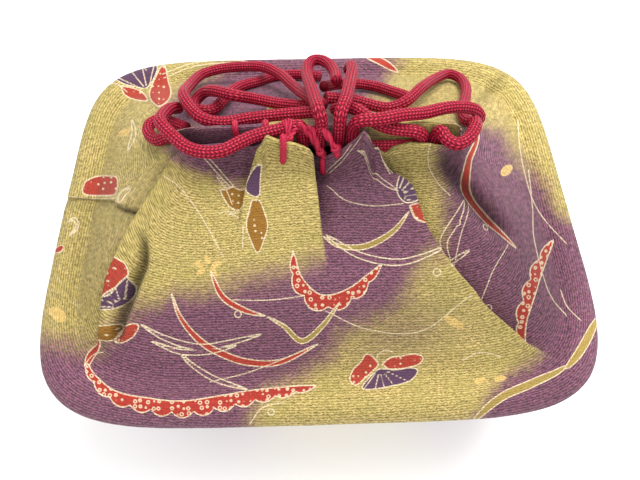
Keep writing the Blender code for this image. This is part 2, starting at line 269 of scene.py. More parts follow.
# braided drawcords, on the routes of the part's source; diameter and step in metres, stitches and
# routes in millimetres
cords = {
    "diameter": 0.0050, "step": 0.00045, "around": 48,
    "stitchesRound": 12, "stitchLength": 1.5, "slant": 0.7, "relief": 0.09,
    # colours: dark is painted shade between the stitches, pale the silk on the stitches, and the last a
    # painted highlight on the stitch tips
    "dark": (0.070, 0.0008, 0.006), "pale": (0.380, 0.004, 0.030), "tip": (0.600, 0.070, 0.110),
}
cordRoutes = {
    "left_cord": {
        "cord_left_outer": (
            (3, 20, 124), (-2.5, 27.5, 120.5), (-8.5, 44, 109), (-16.5, 63, 99), (-26, 72.5, 95),
            (-38, 77, 91), (-49.5, 78, 88.5), (-58, 73, 89.5), (-59.5, 52.5, 103), (-57, 32, 118.5),
            (-51.5, 20, 122.5), (-46, 14.5, 123), (-38, 13.5, 122), (-27.5, 15.5, 122),
            (-17, 16, 123), (-7.5, 15.5, 124.5), (-0.5, 14, 127),
        ),
        "cord_left_inner": (
            (1, 28, 112.5), (-4.5, 31, 111.5), (-16.5, 36.5, 107.5), (-27.5, 35.5, 112),
            (-35, 31.5, 118.5), (-44, 37.5, 115), (-50, 42.5, 109.5), (-54.5, 40.5, 106.5),
            (-55, 35, 107.5), (-51, 31, 110), (-45.5, 32, 109.5), (-41.5, 40, 107.5),
            (-39, 53.5, 99), (-34.5, 62.5, 93), (-28.5, 68.5, 89), (-22.5, 75.5, 85),
            (-14.5, 79, 83), (-6, 77.5, 84.5), (3.5, 74, 86.5),
        ),
        "cord_left_lower": (
            (-6, 1.5, 121.5), (-6, 2, 127.5), (-7.5, 2.5, 132), (-16, 1, 131.5),
            (-25, -1.5, 131), (-30.5, -4.5, 131), (-36.5, -8, 131), (-43, -8.5, 131),
            (-50, -6, 131), (-56.5, 0, 131.5), (-61.5, 7, 130.5), (-62.5, 16.5, 124.5),
            (-62, 24, 119), (-60.5, 31, 112),
        ),
        "cord_left_ring": (
            (-55, 16, 116), (-60.5, 20.5, 113.5), (-65.5, 24, 112), (-69.5, 25, 111),
            (-72.5, 21.5, 111.5), (-71.5, 16, 112.5), (-67.5, 11.5, 114), (-63, 10.5, 116.5),
            (-60, 10.5, 118.5),
        ),
    },
    "mouth": {
        "cord_bow_left": (
            (0.5, 1.5, 120), (0.5, 2, 127), (1.5, 2.5, 133.5), (0.5, 5, 137.5), (-0.5, 12.5, 134.5),
            (-2, 27, 127), (-3.5, 43.5, 117.5), (-3, 54.5, 112.5), (-0.5, 59.5, 111),
            (3.5, 59, 111.5), (7, 53.5, 114), (9, 43.5, 118.5), (9, 33, 124.5),
        ),
        "cord_bow_right": (
            (8, 1.5, 120), (8.5, 2, 127), (8.5, 2, 133), (9, 4.5, 137), (11, 10.5, 137),
            (13, 21, 132.5), (15, 33.5, 126), (16.5, 43, 121), (16.5, 50, 116.5),
            (15.5, 51.5, 112.5),
        ),
    },
    "right_cord": {
        "cord_right_arch": (
            (4, 27, 121), (10.5, 28, 119), (16.5, 30.5, 115.5), (22.5, 29.5, 114), (30, 27.5, 113.5),
            (35.5, 28, 114), (41, 31, 114.5), (48.5, 42, 110), (59.5, 61, 96), (70.5, 75, 85.5),
            (76, 71, 86.5), (75.5, 58, 93.5), (71, 43, 102), (66, 30, 109), (65, 20.5, 113),
            (67, 16.5, 116), (68.5, 15.5, 120), (65.5, 16, 124), (59.5, 14.5, 127.5),
            (51.5, 11.5, 130.5), (42, 7, 133), (32.5, 3, 136.5), (23.5, 0, 138), (16, 0, 137),
            (14, 2, 131), (14, 1.5, 122.5),
        ),
        "cord_right_upper": (
            (4, 44.5, 109.5), (11, 52.5, 102.5), (20.5, 58.5, 96.5), (30, 55.5, 97.5),
            (37.5, 48, 101.5), (41.5, 43, 104.5), (43.5, 39.5, 106),
        ),
        "cord_right_lower": (
            (7.5, 19, 122.5), (11.5, 15.5, 127.5), (16, 10.5, 131.5), (21.5, 5, 131.5), (26.5, 2, 131),
            (32, 0.5, 131), (37.5, 0, 130.5), (41, 0.5, 127.5), (41.5, 1.5, 123), (38, 1.5, 120),
            (30, 1.5, 119.5), (20, 1.5, 119.5),
        ),
        "cord_right_curl": (
            (47, 2, 122), (47.5, 1.5, 127.5), (48, -1.5, 131.5), (49.5, -5, 131.5),
            (53.5, -7, 131), (58.5, -4, 131), (62, 2, 130), (64, 8, 126),
        ),
    },
}


def braidRelief(angles, length):
    turn = angles / (2 * math.pi) * cords["stitchesRound"]
    row, across = np.floor(turn), np.mod(turn, 1)
    along = length / mm / cords["stitchLength"]
    along = along + np.where(row % 2 > 0, -1, 1) * (across - 0.5) * cords["slant"]
    stitch = np.sin(math.pi * across) * np.abs(np.sin(math.pi * along))
    return cords["relief"] * (np.abs(stitch) ** 0.6 - 0.6)


def braidMaterial():
    kit = Finish("braidedSilk")
    turn, along = kit.clothMap()
    turn = turn * cords["stitchesRound"]
    # rows of small stitches, slanting one way and the other by turns
    across = kit.calc("FRACT", turn)
    odd = kit.calc("FLOORED_MODULO", kit.calc("FLOOR", turn), 2.0)
    lean = (across - 0.5) * (odd * (-2 * cords["slant"]) + cords["slant"])
    along = along * (1 / cords["stitchLength"]) + lean
    wave = kit.calc("ABSOLUTE", kit.calc("SINE", along * math.pi))
    stitch = wave * kit.calc("SINE", across * math.pi)
    fleck = kit.noise(kit.node("TexCoord", "Object"), 900.0, 3.0)
    # painted shade between the stitches, and painted highlights on the stitch tips and flecks
    colour = kit.mix(kit.ramp(stitch, 0.02, 0.75), cords["dark"], cords["pale"])
    colour = kit.mix(kit.ramp(stitch * fleck, 0.30, 0.56, 0.0, 0.8), colour, cords["tip"])
    return kit.finish(colour, 0.55, 0.15, stitch + fleck * 0.4, 0.5, 0.0004)


def addCords():
    silk = braidMaterial()
    for body, routes in cordRoutes.items():
        for node, route in routes.items():
            path, length = evenPath(route, cords["step"])
            name = "braid" + "".join(word.capitalize() for word in node.split("_")[1:])
            mesh = tubeMesh(name, path, cords["diameter"] / 2, cords["around"], braidRelief)
            piece = addPiece(name, mesh, silk, (node,), body)


addCords()
print("cords made")

# the bag's smooth form under the folds, in millimetres and degrees; seat and lip are insets and
# heights; rows, columns and steps say how finely the cloth is laid out; its map starts at the
# crease's row and keeps a least share of the length where the cloth is seen from its edge
form = {
    "halfWidth": 120, "halfDepth": 98.5, "flare": 25, "rimHeight": 72, "rimRadius": 8,
    "cornerPower": 5.5, "mouthHalfWidth": 60.5, "mouthHalfDepth": 9.5, "neckHeight": 116,
    "setback": 1, "crown": 2, "foot": 0.4, "tentInset": 14.85, "tentHeight": 76.6,
    "rimEnd": 128, "seat": (14.4, 77.6),
    "lip": ((0.1, 118), (1.5, 120.6), (2.3, 123), (2.6, 125.5), (3.0, 127.4), (3.6, 128.1)),
    "columns": 501, "wallRows": 40, "softRows": 150, "smoothing": 1.2, "fineStep": 0.25,
    "creaseRow": 66, "mapClimb": 0.66, "mostClimb": 1.1, "tilt": 0.8, "topRows": 40,
    "topEnds": (4, -3),
}
photoScale = 2.35  # photograph's pixels to a millimetre


def smoothstep(value, low=0.0, high=1.0):
    share = np.clip((value - low) / (high - low), 0, 1)
    return share * share * (3 - 2 * share)


def smoothed(padded, spread, reach):
    # each row averaged with its neighbours by a bell curve, which uses up the padding
    kernel = np.exp(-0.5 * (np.arange(-reach, reach + 1) / spread) ** 2)
    kernel /= kernel.sum()
    return np.stack([np.convolve(column, kernel, "valid") for column in padded.T], axis=1)


def sectionRows():
    # half width, half depth, middle and height of each ring, from the foot to the lip
    reach, radius, rim = form["flare"] - form["rimRadius"], form["rimRadius"], form["rimHeight"]
    lean = math.atan2(reach, rim) + math.asin(radius / math.hypot(rim, reach))
    wallSteps, rimSteps, tentSteps = 60, 50, 80
    insets = [
        (form["flare"] - height * math.tan(lean), height)
        for height in np.linspace(form["foot"], rim - radius * math.sin(lean), wallSteps)
    ]
    for turn in np.linspace(-lean, math.radians(form["rimEnd"]), rimSteps)[1:]:
        insets.append((radius - radius * math.cos(turn), rim + radius * math.sin(turn)))
    insets.append(form["seat"])
    rings = [(form["halfWidth"] - inset, form["halfDepth"] - inset, 0, z) for inset, z in insets]
    wide, deep = form["halfWidth"] - form["tentInset"], form["halfDepth"] - form["tentInset"]
    for share in np.linspace(0.03, 1, tentSteps):
        height = form["tentHeight"] + share * (form["neckHeight"] - form["tentHeight"])
        rings.append((
            wide + (form["mouthHalfWidth"] - wide) * share,
            deep + (form["mouthHalfDepth"] - deep) * share,
            form["setback"] * share, height + form["crown"] * math.sin(math.pi * share),
        ))
    for less, height in form["lip"]:
        size = form["mouthHalfWidth"] - less, form["mouthHalfDepth"] - less
        rings.append((*size, form["setback"], height))
    rings = np.array(rings)
    along = distances(rings[:, [1, 3]], 0)
    step, spread = form["fineStep"], form["smoothing"]
    fine = np.arange(0, along[-1], step)
    dense = np.stack([np.interp(fine, along, column) for column in rings.T], axis=1)
    span = int(spread * 3 / step)
    padded = np.vstack([
        2 * dense[0] - dense[span:0:-1], dense, 2 * dense[-1] - dense[-2:-span - 2:-1]
    ])
    dense = smoothed(padded, spread / step, span)
    soft = along[wallSteps - 1]
    marks = np.append(
        np.linspace(0, soft, form["wallRows"])[:-1], np.linspace(soft, fine[-1], form["softRows"])
    )
    return np.stack([np.interp(marks, fine, column) for column in dense.T], axis=1)


def unitRing(angles):
    power = form["cornerPower"]
    size = (np.abs(np.cos(angles)) ** power + np.abs(np.sin(angles)) ** power) ** (-1 / power)
    return np.cos(angles) * size, np.sin(angles) * size


def columnAngles(side):
    # evenly spaced along the rim, from the left end by the front, or from the right by the back
    fine = np.linspace(0, math.pi, 4001) + (math.pi if side < 0 else 0)
    x, y = unitRing(fine)
    along = distances(np.stack([x * form["halfWidth"], y * form["halfDepth"]], axis=-1), 0)
    return np.interp(np.linspace(0, along[-1], form["columns"]), along, fine)


def smoothHalf(rows, angles):
    x, y = unitRing(angles)
    wide, deep, middle, height = rows.T[:, :, None]
    return np.stack(np.broadcast_arrays(wide * x, deep * y + middle, height), axis=-1)


def flatMap(places, angles):
    # each spot's place in the photograph; the hidden walls are unrolled outward from its outline
    flat = toPhoto(places * mm)
    power = form["cornerPower"] - 1
    x, y = unitRing(angles)
    out = np.stack([
        np.sign(x) * np.abs(x) ** power / form["halfWidth"],
        -form["tilt"] * np.sign(y) * np.abs(y) ** power / form["halfDepth"],
    ], axis=-1)
    out /= np.linalg.norm(out, axis=-1)[:, None]
    first = form["wallRows"] - 1
    seen = (flat * out).sum(axis=-1)[first:first + form["topRows"]]
    edge = first + np.argmax(seen, axis=0)
    along, columns = distances(places, 0), np.arange(len(angles))
    below = along[edge, columns] - along
    hidden = np.arange(len(places))[:, None] < edge
    unrolled = flat[edge, columns] + out * below[..., None] * photoScale
    onTop = smoothstep(below, *form["topEnds"])
    return np.where(hidden[..., None], unrolled, flat), along, onTop


def curve(points, step=2.5):
    # a smooth line through a few points of the photograph
    knots = np.array(points, float)
    if len(knots) == 2:
        return np.linspace(*knots, 8)
    gaps = np.linalg.norm(np.diff(knots, axis=0), axis=1)
    return spline(knots, [max(2, int(gap / step)) for gap in gaps])


def nearLine(flat, line):
    # distance to a line, positive on its right, how far along it, and the way to its right
    best = np.full(len(flat), np.inf)
    side, share, across = np.ones(len(flat)), np.zeros(len(flat)), np.zeros((len(flat), 2))
    lengths = distances(line, 0)
    for start, here, there in zip(lengths, line, line[1:]):
        run, away = there - here, flat - here
        size = math.sqrt(run @ run)
        t = np.clip(away @ run / (run @ run), 0, 1)
        distance = np.linalg.norm(away - t[:, None] * run, axis=1)
        nearer = distance < best
        best[nearer] = distance[nearer]
        side[nearer] = np.sign(run[0] * away[:, 1] - run[1] * away[:, 0])[nearer]
        share[nearer] = ((start + t * size) / lengths[-1])[nearer]
        across[nearer] = np.array((-run[1], run[0])) / size
    return best * side, share, across


def reached(flat, line, margin):
    low, high = line.min(axis=0) - margin, line.max(axis=0) + margin
    return np.nonzero(((flat > low) & (flat < high)).all(axis=-1).ravel())[0]


def besideLines(flat, shapes, margin):
    # each fold or groove with the spots near it, their distance, share and way across
    for shape in shapes.values():
        line = curve(shape["line"])
        near = reached(flat, line, margin)
        if len(near):
            yield shape, near, *nearLine(flat[near], line)


def fading(share, start, end):
    return smoothstep(share, 0, start) * smoothstep(1 - share, 0, end)


# folds that lap over the cloth beside them: their line in the photograph, the raised side (1 is
# the right of the line's direction), height, depth and overhang in millimetres, reach of crest
# and valley in pixels, how much painted shade darkens the cloth beside them, and how the ends fade
lapFolds = {
    "leftFold": {
        "line": ((178, 148), (172, 163), (155, 193), (141, 214), (132, 230), (122, 252), (111, 279),
                 (106, 302), (103, 331), (97, 346), (87, 360)),
        "raised": -1, "height": 4.0, "depth": 3.4, "crest": 16, "valley": 22, "overhang": 1.8,
        "shade": 0.25, "fade": (0.06, 0.16),
    },
    "rightFold": {
        "line": ((365, 134), (385, 159), (399, 175), (411, 187), (419, 211), (427, 231), (441, 252),
                 (456, 272), (472, 290), (484, 306), (517, 335), (529, 345), (567, 363)),
        "raised": 1, "height": 3.4, "depth": 3.6, "crest": 24, "valley": 26, "overhang": 1.6,
        "shade": 0.14, "fade": (0.04, 0.22),
    },
    "greenTabLeft": {
        "line": ((264, 132), (262, 146), (257, 158), (249, 180), (244, 202), (238, 226), (230, 250)),
        "raised": -1, "height": 2.4, "depth": 2.6, "crest": 34, "valley": 26, "overhang": 1.2,
        "shade": 0.12, "fade": (0.02, 0.6),
    },
    "greenTabRight": {
        "line": ((309, 132), (312, 150), (315, 180), (319, 213), (323, 236), (328, 262)),
        "raised": 1, "height": 2.4, "depth": 6.5, "crest": 34, "valley": 30, "overhang": 1.6,
        "shade": 0.35, "fade": (0.02, 0.5),
    },
    "leftSeam": {
        "line": ((56, 195), (72, 197), (100, 199), (116, 201), (120, 207), (130, 210), (141, 214)),
        "raised": -1, "height": 0.7, "depth": 1.0, "crest": 10, "valley": 9, "overhang": 0.5,
        "shade": 0.22, "fade": (0.02, 0.05),
    },
}
# grooves: depth and the bulges left and right in millimetres, half width in pixels, how much painted
# shade darkens them, and how the ends fade
grooves = {
    "leftCrevice": {
        "line": ((143, 226), (145, 246), (143, 266), (136, 284), (130, 300), (123, 318),
                 (119, 333), (114, 350)),
        "depth": 6.0, "width": 3.8, "bulge": (1.4, 1.4), "shade": 0.62, "fade": (0.35, 0.16),
    },
    "rightValley": {
        "line": ((440, 140), (446, 158), (454, 173), (466, 190), (477, 203), (492, 222), (508, 236),
                 (524, 248)),
        "depth": 6.5, "width": 8.0, "bulge": (1.2, 1.2), "shade": 0.55, "fade": (0.5, 0.35),
    },
    "backRightCrease": {
        "line": ((509, 68), (498, 82), (482, 101), (465, 122)),
        "depth": 3.0, "width": 5.0, "bulge": (1.2, 0.3), "shade": 0.25, "fade": (0.45, 0.2),
    },
    "backLeftCrease": {
        "line": ((142, 92), (150, 103), (158, 112), (166, 120)),
        "depth": 1.6, "width": 4.0, "bulge": (0.4, 0.4), "shade": 0.15, "fade": (0.3, 0.3),
    },
    "seamPocket": {
        "line": ((116, 203), (122, 208), (132, 211), (141, 214)),
        "depth": 2.6, "width": 3.4, "bulge": (0.3, 0.3), "shade": 0.4, "fade": (0.3, 0.05),
    },
}
# broad swellings and hollows: middle, reach across and down, turn in degrees, height in millimetres
swellings = (
    ((88, 270), 34, 60, 10, 1.2),
    ((545, 300), 30, 55, -20, 1.3),
    ((505, 185), 26, 50, -30, 1.8),
    ((122, 262), 9, 40, 20, 1.0),
    ((205, 225), 40, 30, 0, 0.9),
    ((225, 165), 30, 16, 0, -3.2),
    ((350, 210), 26, 45, -10, 1.4),
    ((410, 158), 34, 22, 20, -3.0),
    ((280, 330), 90, 40, 0, 0.7),
    ((430, 330), 60, 30, 30, 0.8),
    ((250, 88), 60, 14, 0, 0.8),
    ((420, 88), 40, 14, 0, 0.8),
)
# where the front lip's top edge runs in the photograph, and how far it stands out towards the
# camera there, in millimetres
lipEdge = (
    (172, 153), (190, 149), (215, 147), (240, 146), (252, 150), (260, 146), (267, 139), (279, 143),
    (291, 145), (306, 149), (311, 151), (316, 158), (322, 160), (330, 156), (342, 151), (356, 141),
    (363, 135), (369, 139), (378, 151), (386, 155), (394, 149), (410, 145), (440, 147), (462, 153),
)
lipDepth = (
    (172, 0), (190, -2.5), (215, -3.5), (248, -3.5), (258, -0.5), (266, 0.6), (300, 0.8),
    (312, 0), (318, -2.5), (326, -1.5), (345, 0.5), (366, 0.8), (376, -1), (392, -2.5), (430, -2.5),
    (462, 0),
)
# the cloth that follows the lip: pixels below it where that ends and is full, the columns
# between which it does, and pixels from the lip's ends over which it fades
lipFollow = {"below": (44, 12), "left": 150, "right": 480, "ends": (4, 48)}
# pixels between a fold's crest and its valley, pixels that each millimetre of overhang shifts
# it, width of the leaning crest, half widths from a groove to its bulges and their width, and
# the pixels beside a line that are shaped and shaded by it; a fold's shade spreads over so many
# pixels, and a groove's fades in over the first share of its line
folding = {
    "drop": 3.0, "shift": 1.8, "lean": 4.0, "bulgeAway": 2.6, "bulgeSpread": 1.3,
    "lapReach": 90, "grooveReach": 60, "shadeReach": 40, "shadeSpread": 9,
    "shadeStart": 0.15,
}


def lapHeight(distance, fold):
    # crest on the raised side, a steep drop, a valley on the other side
    crest = fold["height"] * np.exp(-np.clip(distance, 0, None) / fold["crest"])
    down = np.clip(-folding["drop"] - distance, 0, None)
    valley = -fold["depth"] * np.exp(-((down / fold["valley"]) ** 1.5) * 2)
    return valley + (crest - valley) * smoothstep(distance, -folding["drop"], 0)


def blob(flat, middle, wide, tall, turn):
    away = flat - middle
    c, s = math.cos(math.radians(turn)), math.sin(math.radians(turn))
    across, down = away[:, 0] * c + away[:, 1] * s, away[:, 1] * c - away[:, 0] * s
    return np.exp(-((across / wide) ** 2 + (down / tall) ** 2))


def shapeFlat(flat, onTop):
    # how far each spot moves up towards the camera and sideways, in millimetres
    rise, slide = np.zeros(len(flat)), np.zeros((len(flat), 2))
    for fold, near, distance, share, across in besideLines(flat, lapFolds, folding["lapReach"]):
        distance = distance * fold["raised"] - folding["shift"] * fold["overhang"]
        ends = fading(share, *fold["fade"])
        rise[near] += lapHeight(distance, fold) * ends
        # the crest leans over its valley
        lean = fold["overhang"] * np.exp(-((distance - 1) / folding["lean"]) ** 2) * ends
        slide[near] -= lean[:, None] * across * fold["raised"]
    for groove, near, distance, share, _ in besideLines(flat, grooves, folding["grooveReach"]):
        width = groove["width"]
        deep = -groove["depth"] * np.exp(-((distance / width) ** 2))
        away = (np.abs(distance) - folding["bulgeAway"] * width) / (folding["bulgeSpread"] * width)
        beside = np.exp(-(away**2))
        bulge = np.where(distance < 0, *groove["bulge"])
        rise[near] += (deep + bulge * beside) * fading(share, *groove["fade"])
    for *place, height in swellings:
        rise += height * blob(flat, *place)
    return rise * onTop, slide * onTop[:, None]


def valueNoise(u, v, seed):
    # smooth random waves over the cloth, unit period
    table = np.random.default_rng(seed).uniform(-1, 1, (64, 64))
    i, j = np.floor(u).astype(int), np.floor(v).astype(int)
    a, b = u - i, v - j
    a, b = a * a * (3 - 2 * a), b * b * (3 - 2 * b)
    low, high = (
        table[i % 64, (j + dj) % 64] * (1 - a) + table[(i + 1) % 64, (j + dj) % 64] * a
        for dj in (0, 1)
    )
    return low * (1 - b) + high * b


def climb(places, flat, least):
    # millimetres up the cloth from the crease, shortened where it is seen from its edge
    length = np.diff(distances(places, 0), axis=0)
    seen = np.diff(distances(flat, 0), axis=0) / photoScale
    total = np.cumsum(np.clip(seen, least * length, form["mostClimb"] * length), axis=0)
    total = np.insert(total, 0, 0, axis=0)
    return total - total[form["creaseRow"]]


# the cloth's small waves: how many gathers each half has, heights and reaches in millimetres, and
# the share of the length that is kept where the cloth is seen from its edge; the wadding leaves
# the waves little room; puckers have a share, scales across and up, and a seed
crepeWaves = {
    "gathers": 46, "gatherHeight": 0.9, "gatherReach": 30, "pucker": 0.14, "slack": 0.5,
    "climb": 0.36, "room": 0.8, "softRoom": 7, "softRows": (-4, 18),
    "puckers": ((1.0, 0.16, 0.30, 5), (0.6, 0.4, 0.5, 6)),
}


def addWaves(rise, places, flat, onTop, across, side):
    # gathers run down from the mouth, and the crepe puckers everywhere
    up, along = climb(places, flat, crepeWaves["climb"]), distances(places, 0)
    turn = np.linspace(0, 1, form["columns"])[None, :] * crepeWaves["gathers"]
    gather = valueNoise(turn + (side > 0) * 7 + up * 0.012, up * 0.02, 3)
    near = np.exp((along - along[-1]) / crepeWaves["gatherReach"]) * onTop
    pucker = sum(
        share * valueNoise(across * wide, up * tall, seed)
        for share, wide, tall, seed in crepeWaves["puckers"]
    )
    slack = valueNoise(flat[..., 0] / 60, flat[..., 1] / 45, 8)
    rise = rise + gather * crepeWaves["gatherHeight"] * near + crepeWaves["pucker"] * pucker
    rise = rise + crepeWaves["slack"] * slack * onTop
    # the wadding of the wall and rim lies close beneath
    beyond = np.arange(len(rise)) - form["creaseRow"]
    soft = smoothstep(beyond, *crepeWaves["softRows"])[:, None]
    return np.maximum(rise, -crepeWaves["room"] - crepeWaves["softRoom"] * soft)


def clothHalf(side):
    angles = columnAngles(side)
    places = smoothHalf(sectionRows(), angles)
    flat, along, onTop = flatMap(places, angles)
    across = distances(places, 1)
    across -= across[:, [form["columns"] // 2]]
    upward = climb(places, flat, form["mapClimb"])
    rise, slide = shapeFlat(flat.reshape(-1, 2), onTop.ravel())
    rise, slide = rise.reshape(onTop.shape), slide.reshape(flat.shape)
    rise = addWaves(rise, places, flat, onTop, across, side)
    if side < 0:
        lip = flat[-1]
        fromEnd = np.minimum(lip[:, 0] - lip[:, 0].min(), lip[:, 0].max() - lip[:, 0])
        ends = smoothstep(fromEnd, *lipFollow["ends"])
        follow = smoothstep(flat[..., 1] - lip[:, 1], *lipFollow["below"])
        follow = follow * (flat[..., 0] > lipFollow["left"]) * (flat[..., 0] < lipFollow["right"])
        rise = rise + np.interp(lip[:, 0], *np.array(lipDepth, float).T) * ends * follow
    places = places - photoForward * rise[..., None]
    places = places + (photoRight * slide[..., :1] - photoUp * slide[..., 1:])
    if side < 0:
        for _ in range(3):  # moves the lip up or down to where the photograph has it
            seen = toPhoto(places[-1] * mm)
            target = np.interp(seen[:, 0], *np.array(lipEdge, float).T)
            lift = (seen[:, 1] - target) / photoScale * ends
            places[..., 2] += lift * follow / photoUp[2]
    places[..., 2] = np.maximum(places[..., 2], form["foot"])
    return places, flat, np.stack([across, upward], axis=-1), rise


# dye: soft plum clouds on olive, as outlines in the photograph with the softness of their edges;
# cloth that lies beyond a fold, or on a gathered tab, has clouds of its own
plumClouds = (
    (((-160, 352), (60, 340), (96, 350), (118, 328), (134, 308), (174, 298), (231, 287), (268, 272),
      (282, 240), (288, 190), (290, 120), (345, 106), (390, 116), (440, 150), (470, 200), (452, 238),
      (428, 258), (410, 282), (408, 300), (394, 317), (360, 325), (342, 334), (334, 350),
      (312, 368), (288, 384), (262, 398), (250, 424), (246, 470), (250, 700), (-160, 700)), 23),
    (((168, 150), (178, 128), (200, 118), (262, 118), (268, 150), (252, 174), (236, 184),
      (214, 183), (192, 176)), 11),
    (((150, -160), (214, -90), (246, -20), (232, 62), (198, 82), (170, 104), (166, 128), (262, 140),
      (330, 112), (388, 92), (398, 60), (372, 10), (392, -60), (470, -160)), 18),
    (((800, 290), (600, 310), (556, 338), (536, 352), (520, 368), (490, 392), (468, 424),
      (464, 470), (468, 700), (800, 700)), 15),
)
beyondFold = {
    "region": ((364, 118), (368, 137), *lapFolds["rightFold"]["line"][1:], (640, 330), (800, 250),
               (800, -160), (430, -160), (420, 60), (400, 100)),
    "clouds": (
        (((443, 132), (474, 118), (500, 132), (516, 158), (540, 186), (558, 214), (620, 238),
          (800, 262), (800, 700), (380, 700), (400, 300), (430, 262), (444, 244), (446, 200),
          (440, 160)), 18),
        plumClouds[2],
    ),
}
greenTab = {
    "region": ((268, 100), *lapFolds["greenTabLeft"]["line"], (226, 330), (324, 330),
               *[(x - 1, y) for x, y in lapFolds["greenTabRight"]["line"][::-1]], (306, 100)),
    "clouds": (
        (((100, 330), (134, 308), (174, 298), (231, 287), (282, 270), (310, 262), (380, 258),
          (380, 400), (100, 400)), 25),
    ),
}
mingled = {"place": ((396, 334), 62, 34, -10), "share": 0.36}
# the dyes' ragged edge: height in pixels, size and seed of each of its noises
cloudEdge = ((5, 30, 11), (3, 6, 12))
# soft spots of painted light and painted shade, partly darker and lighter dye, multiplied into the
# colour: middle, reach across and down, turn in degrees, share
paintedLightAndDyeSpots = (
    ((92, 262), 30, 92, 8, 0.80),
    ((404, 318), 66, 32, -24, 0.76),
    ((366, 196), 46, 56, 0, 0.70),
    ((452, 190), 18, 50, -24, 0.74),
    ((224, 168), 34, 18, 0, 0.72),
    ((250, 338), 130, 52, 0, 0.80),
    ((520, 108), 46, 60, 24, 1.16),
    ((526, 280), 40, 80, -24, 0.68),
    ((462, 330), 62, 42, 40, 0.90),
    ((58, 386), 40, 30, 30, 1.14),
    ((590, 340), 22, 70, -8, 1.22),
)


def insidePolygon(flat, polygon):
    # distance to the polygon's edge, positive inside
    corners = np.array(polygon, float)
    closed = np.vstack([corners, corners[:1]])
    distance = np.abs(nearLine(flat, closed)[0])
    inside = np.zeros(len(flat), bool)
    for here, there in zip(closed, closed[1:]):
        crosses = (here[1] > flat[:, 1]) != (there[1] > flat[:, 1])
        with np.errstate(divide="ignore", invalid="ignore"):
            edge = here[0] + (flat[:, 1] - here[1]) * (there[0] - here[0]) / (there[1] - here[1])
        inside ^= crosses & (flat[:, 0] < edge)
    return np.where(inside, distance, -distance)


def cloudShare(flat, clouds, ragged):
    plum = np.zeros(len(flat))
    for polygon, soft in clouds:
        plum = np.maximum(plum, smoothstep(insidePolygon(flat, polygon) + ragged, -soft, soft))
    return plum


def plumShare(flat):
    ragged = sum(
        height * valueNoise(flat[:, 0] / size, flat[:, 1] / size, seed)
        for height, size, seed in cloudEdge
    )
    plum = cloudShare(flat, plumClouds, ragged)
    # a brownish place where the two dyes ran together
    plum = np.maximum(plum, mingled["share"] * blob(flat, *mingled["place"]))
    for part in (beyondFold, greenTab):
        within = smoothstep(insidePolygon(flat, part["region"]), -1.0, 1.0)
        plum = plum + (cloudShare(flat, part["clouds"], ragged) - plum) * within
    return plum


def paintedLightAndDyeShare(flat):
    tone = np.ones(len(flat))
    # painted light and painted shade from the spots, with some uneven dye
    for *place, share in paintedLightAndDyeSpots:
        tone *= 1 + (share - 1) * blob(flat, *place)
    # painted shade in the creases, where they hold less light
    for groove, near, distance, share, _ in besideLines(flat, grooves, folding["shadeReach"]):
        ends = fading(share, folding["shadeStart"], groove["fade"][1])
        tone[near] *= 1 - groove["shade"] * np.exp(-((distance / groove["width"]) ** 2)) * ends
    # painted shade on the low side beside each fold
    for fold, near, distance, share, _ in besideLines(flat, lapFolds, folding["shadeReach"]):
        over = distance * fold["raised"]
        below = np.clip(-over, 0, None) / folding["shadeSpread"]
        below = (over < 1) * np.exp(-(below**2))
        tone[near] *= 1 - fold["shade"] * below * fading(share, *fold["fade"])
    return tone


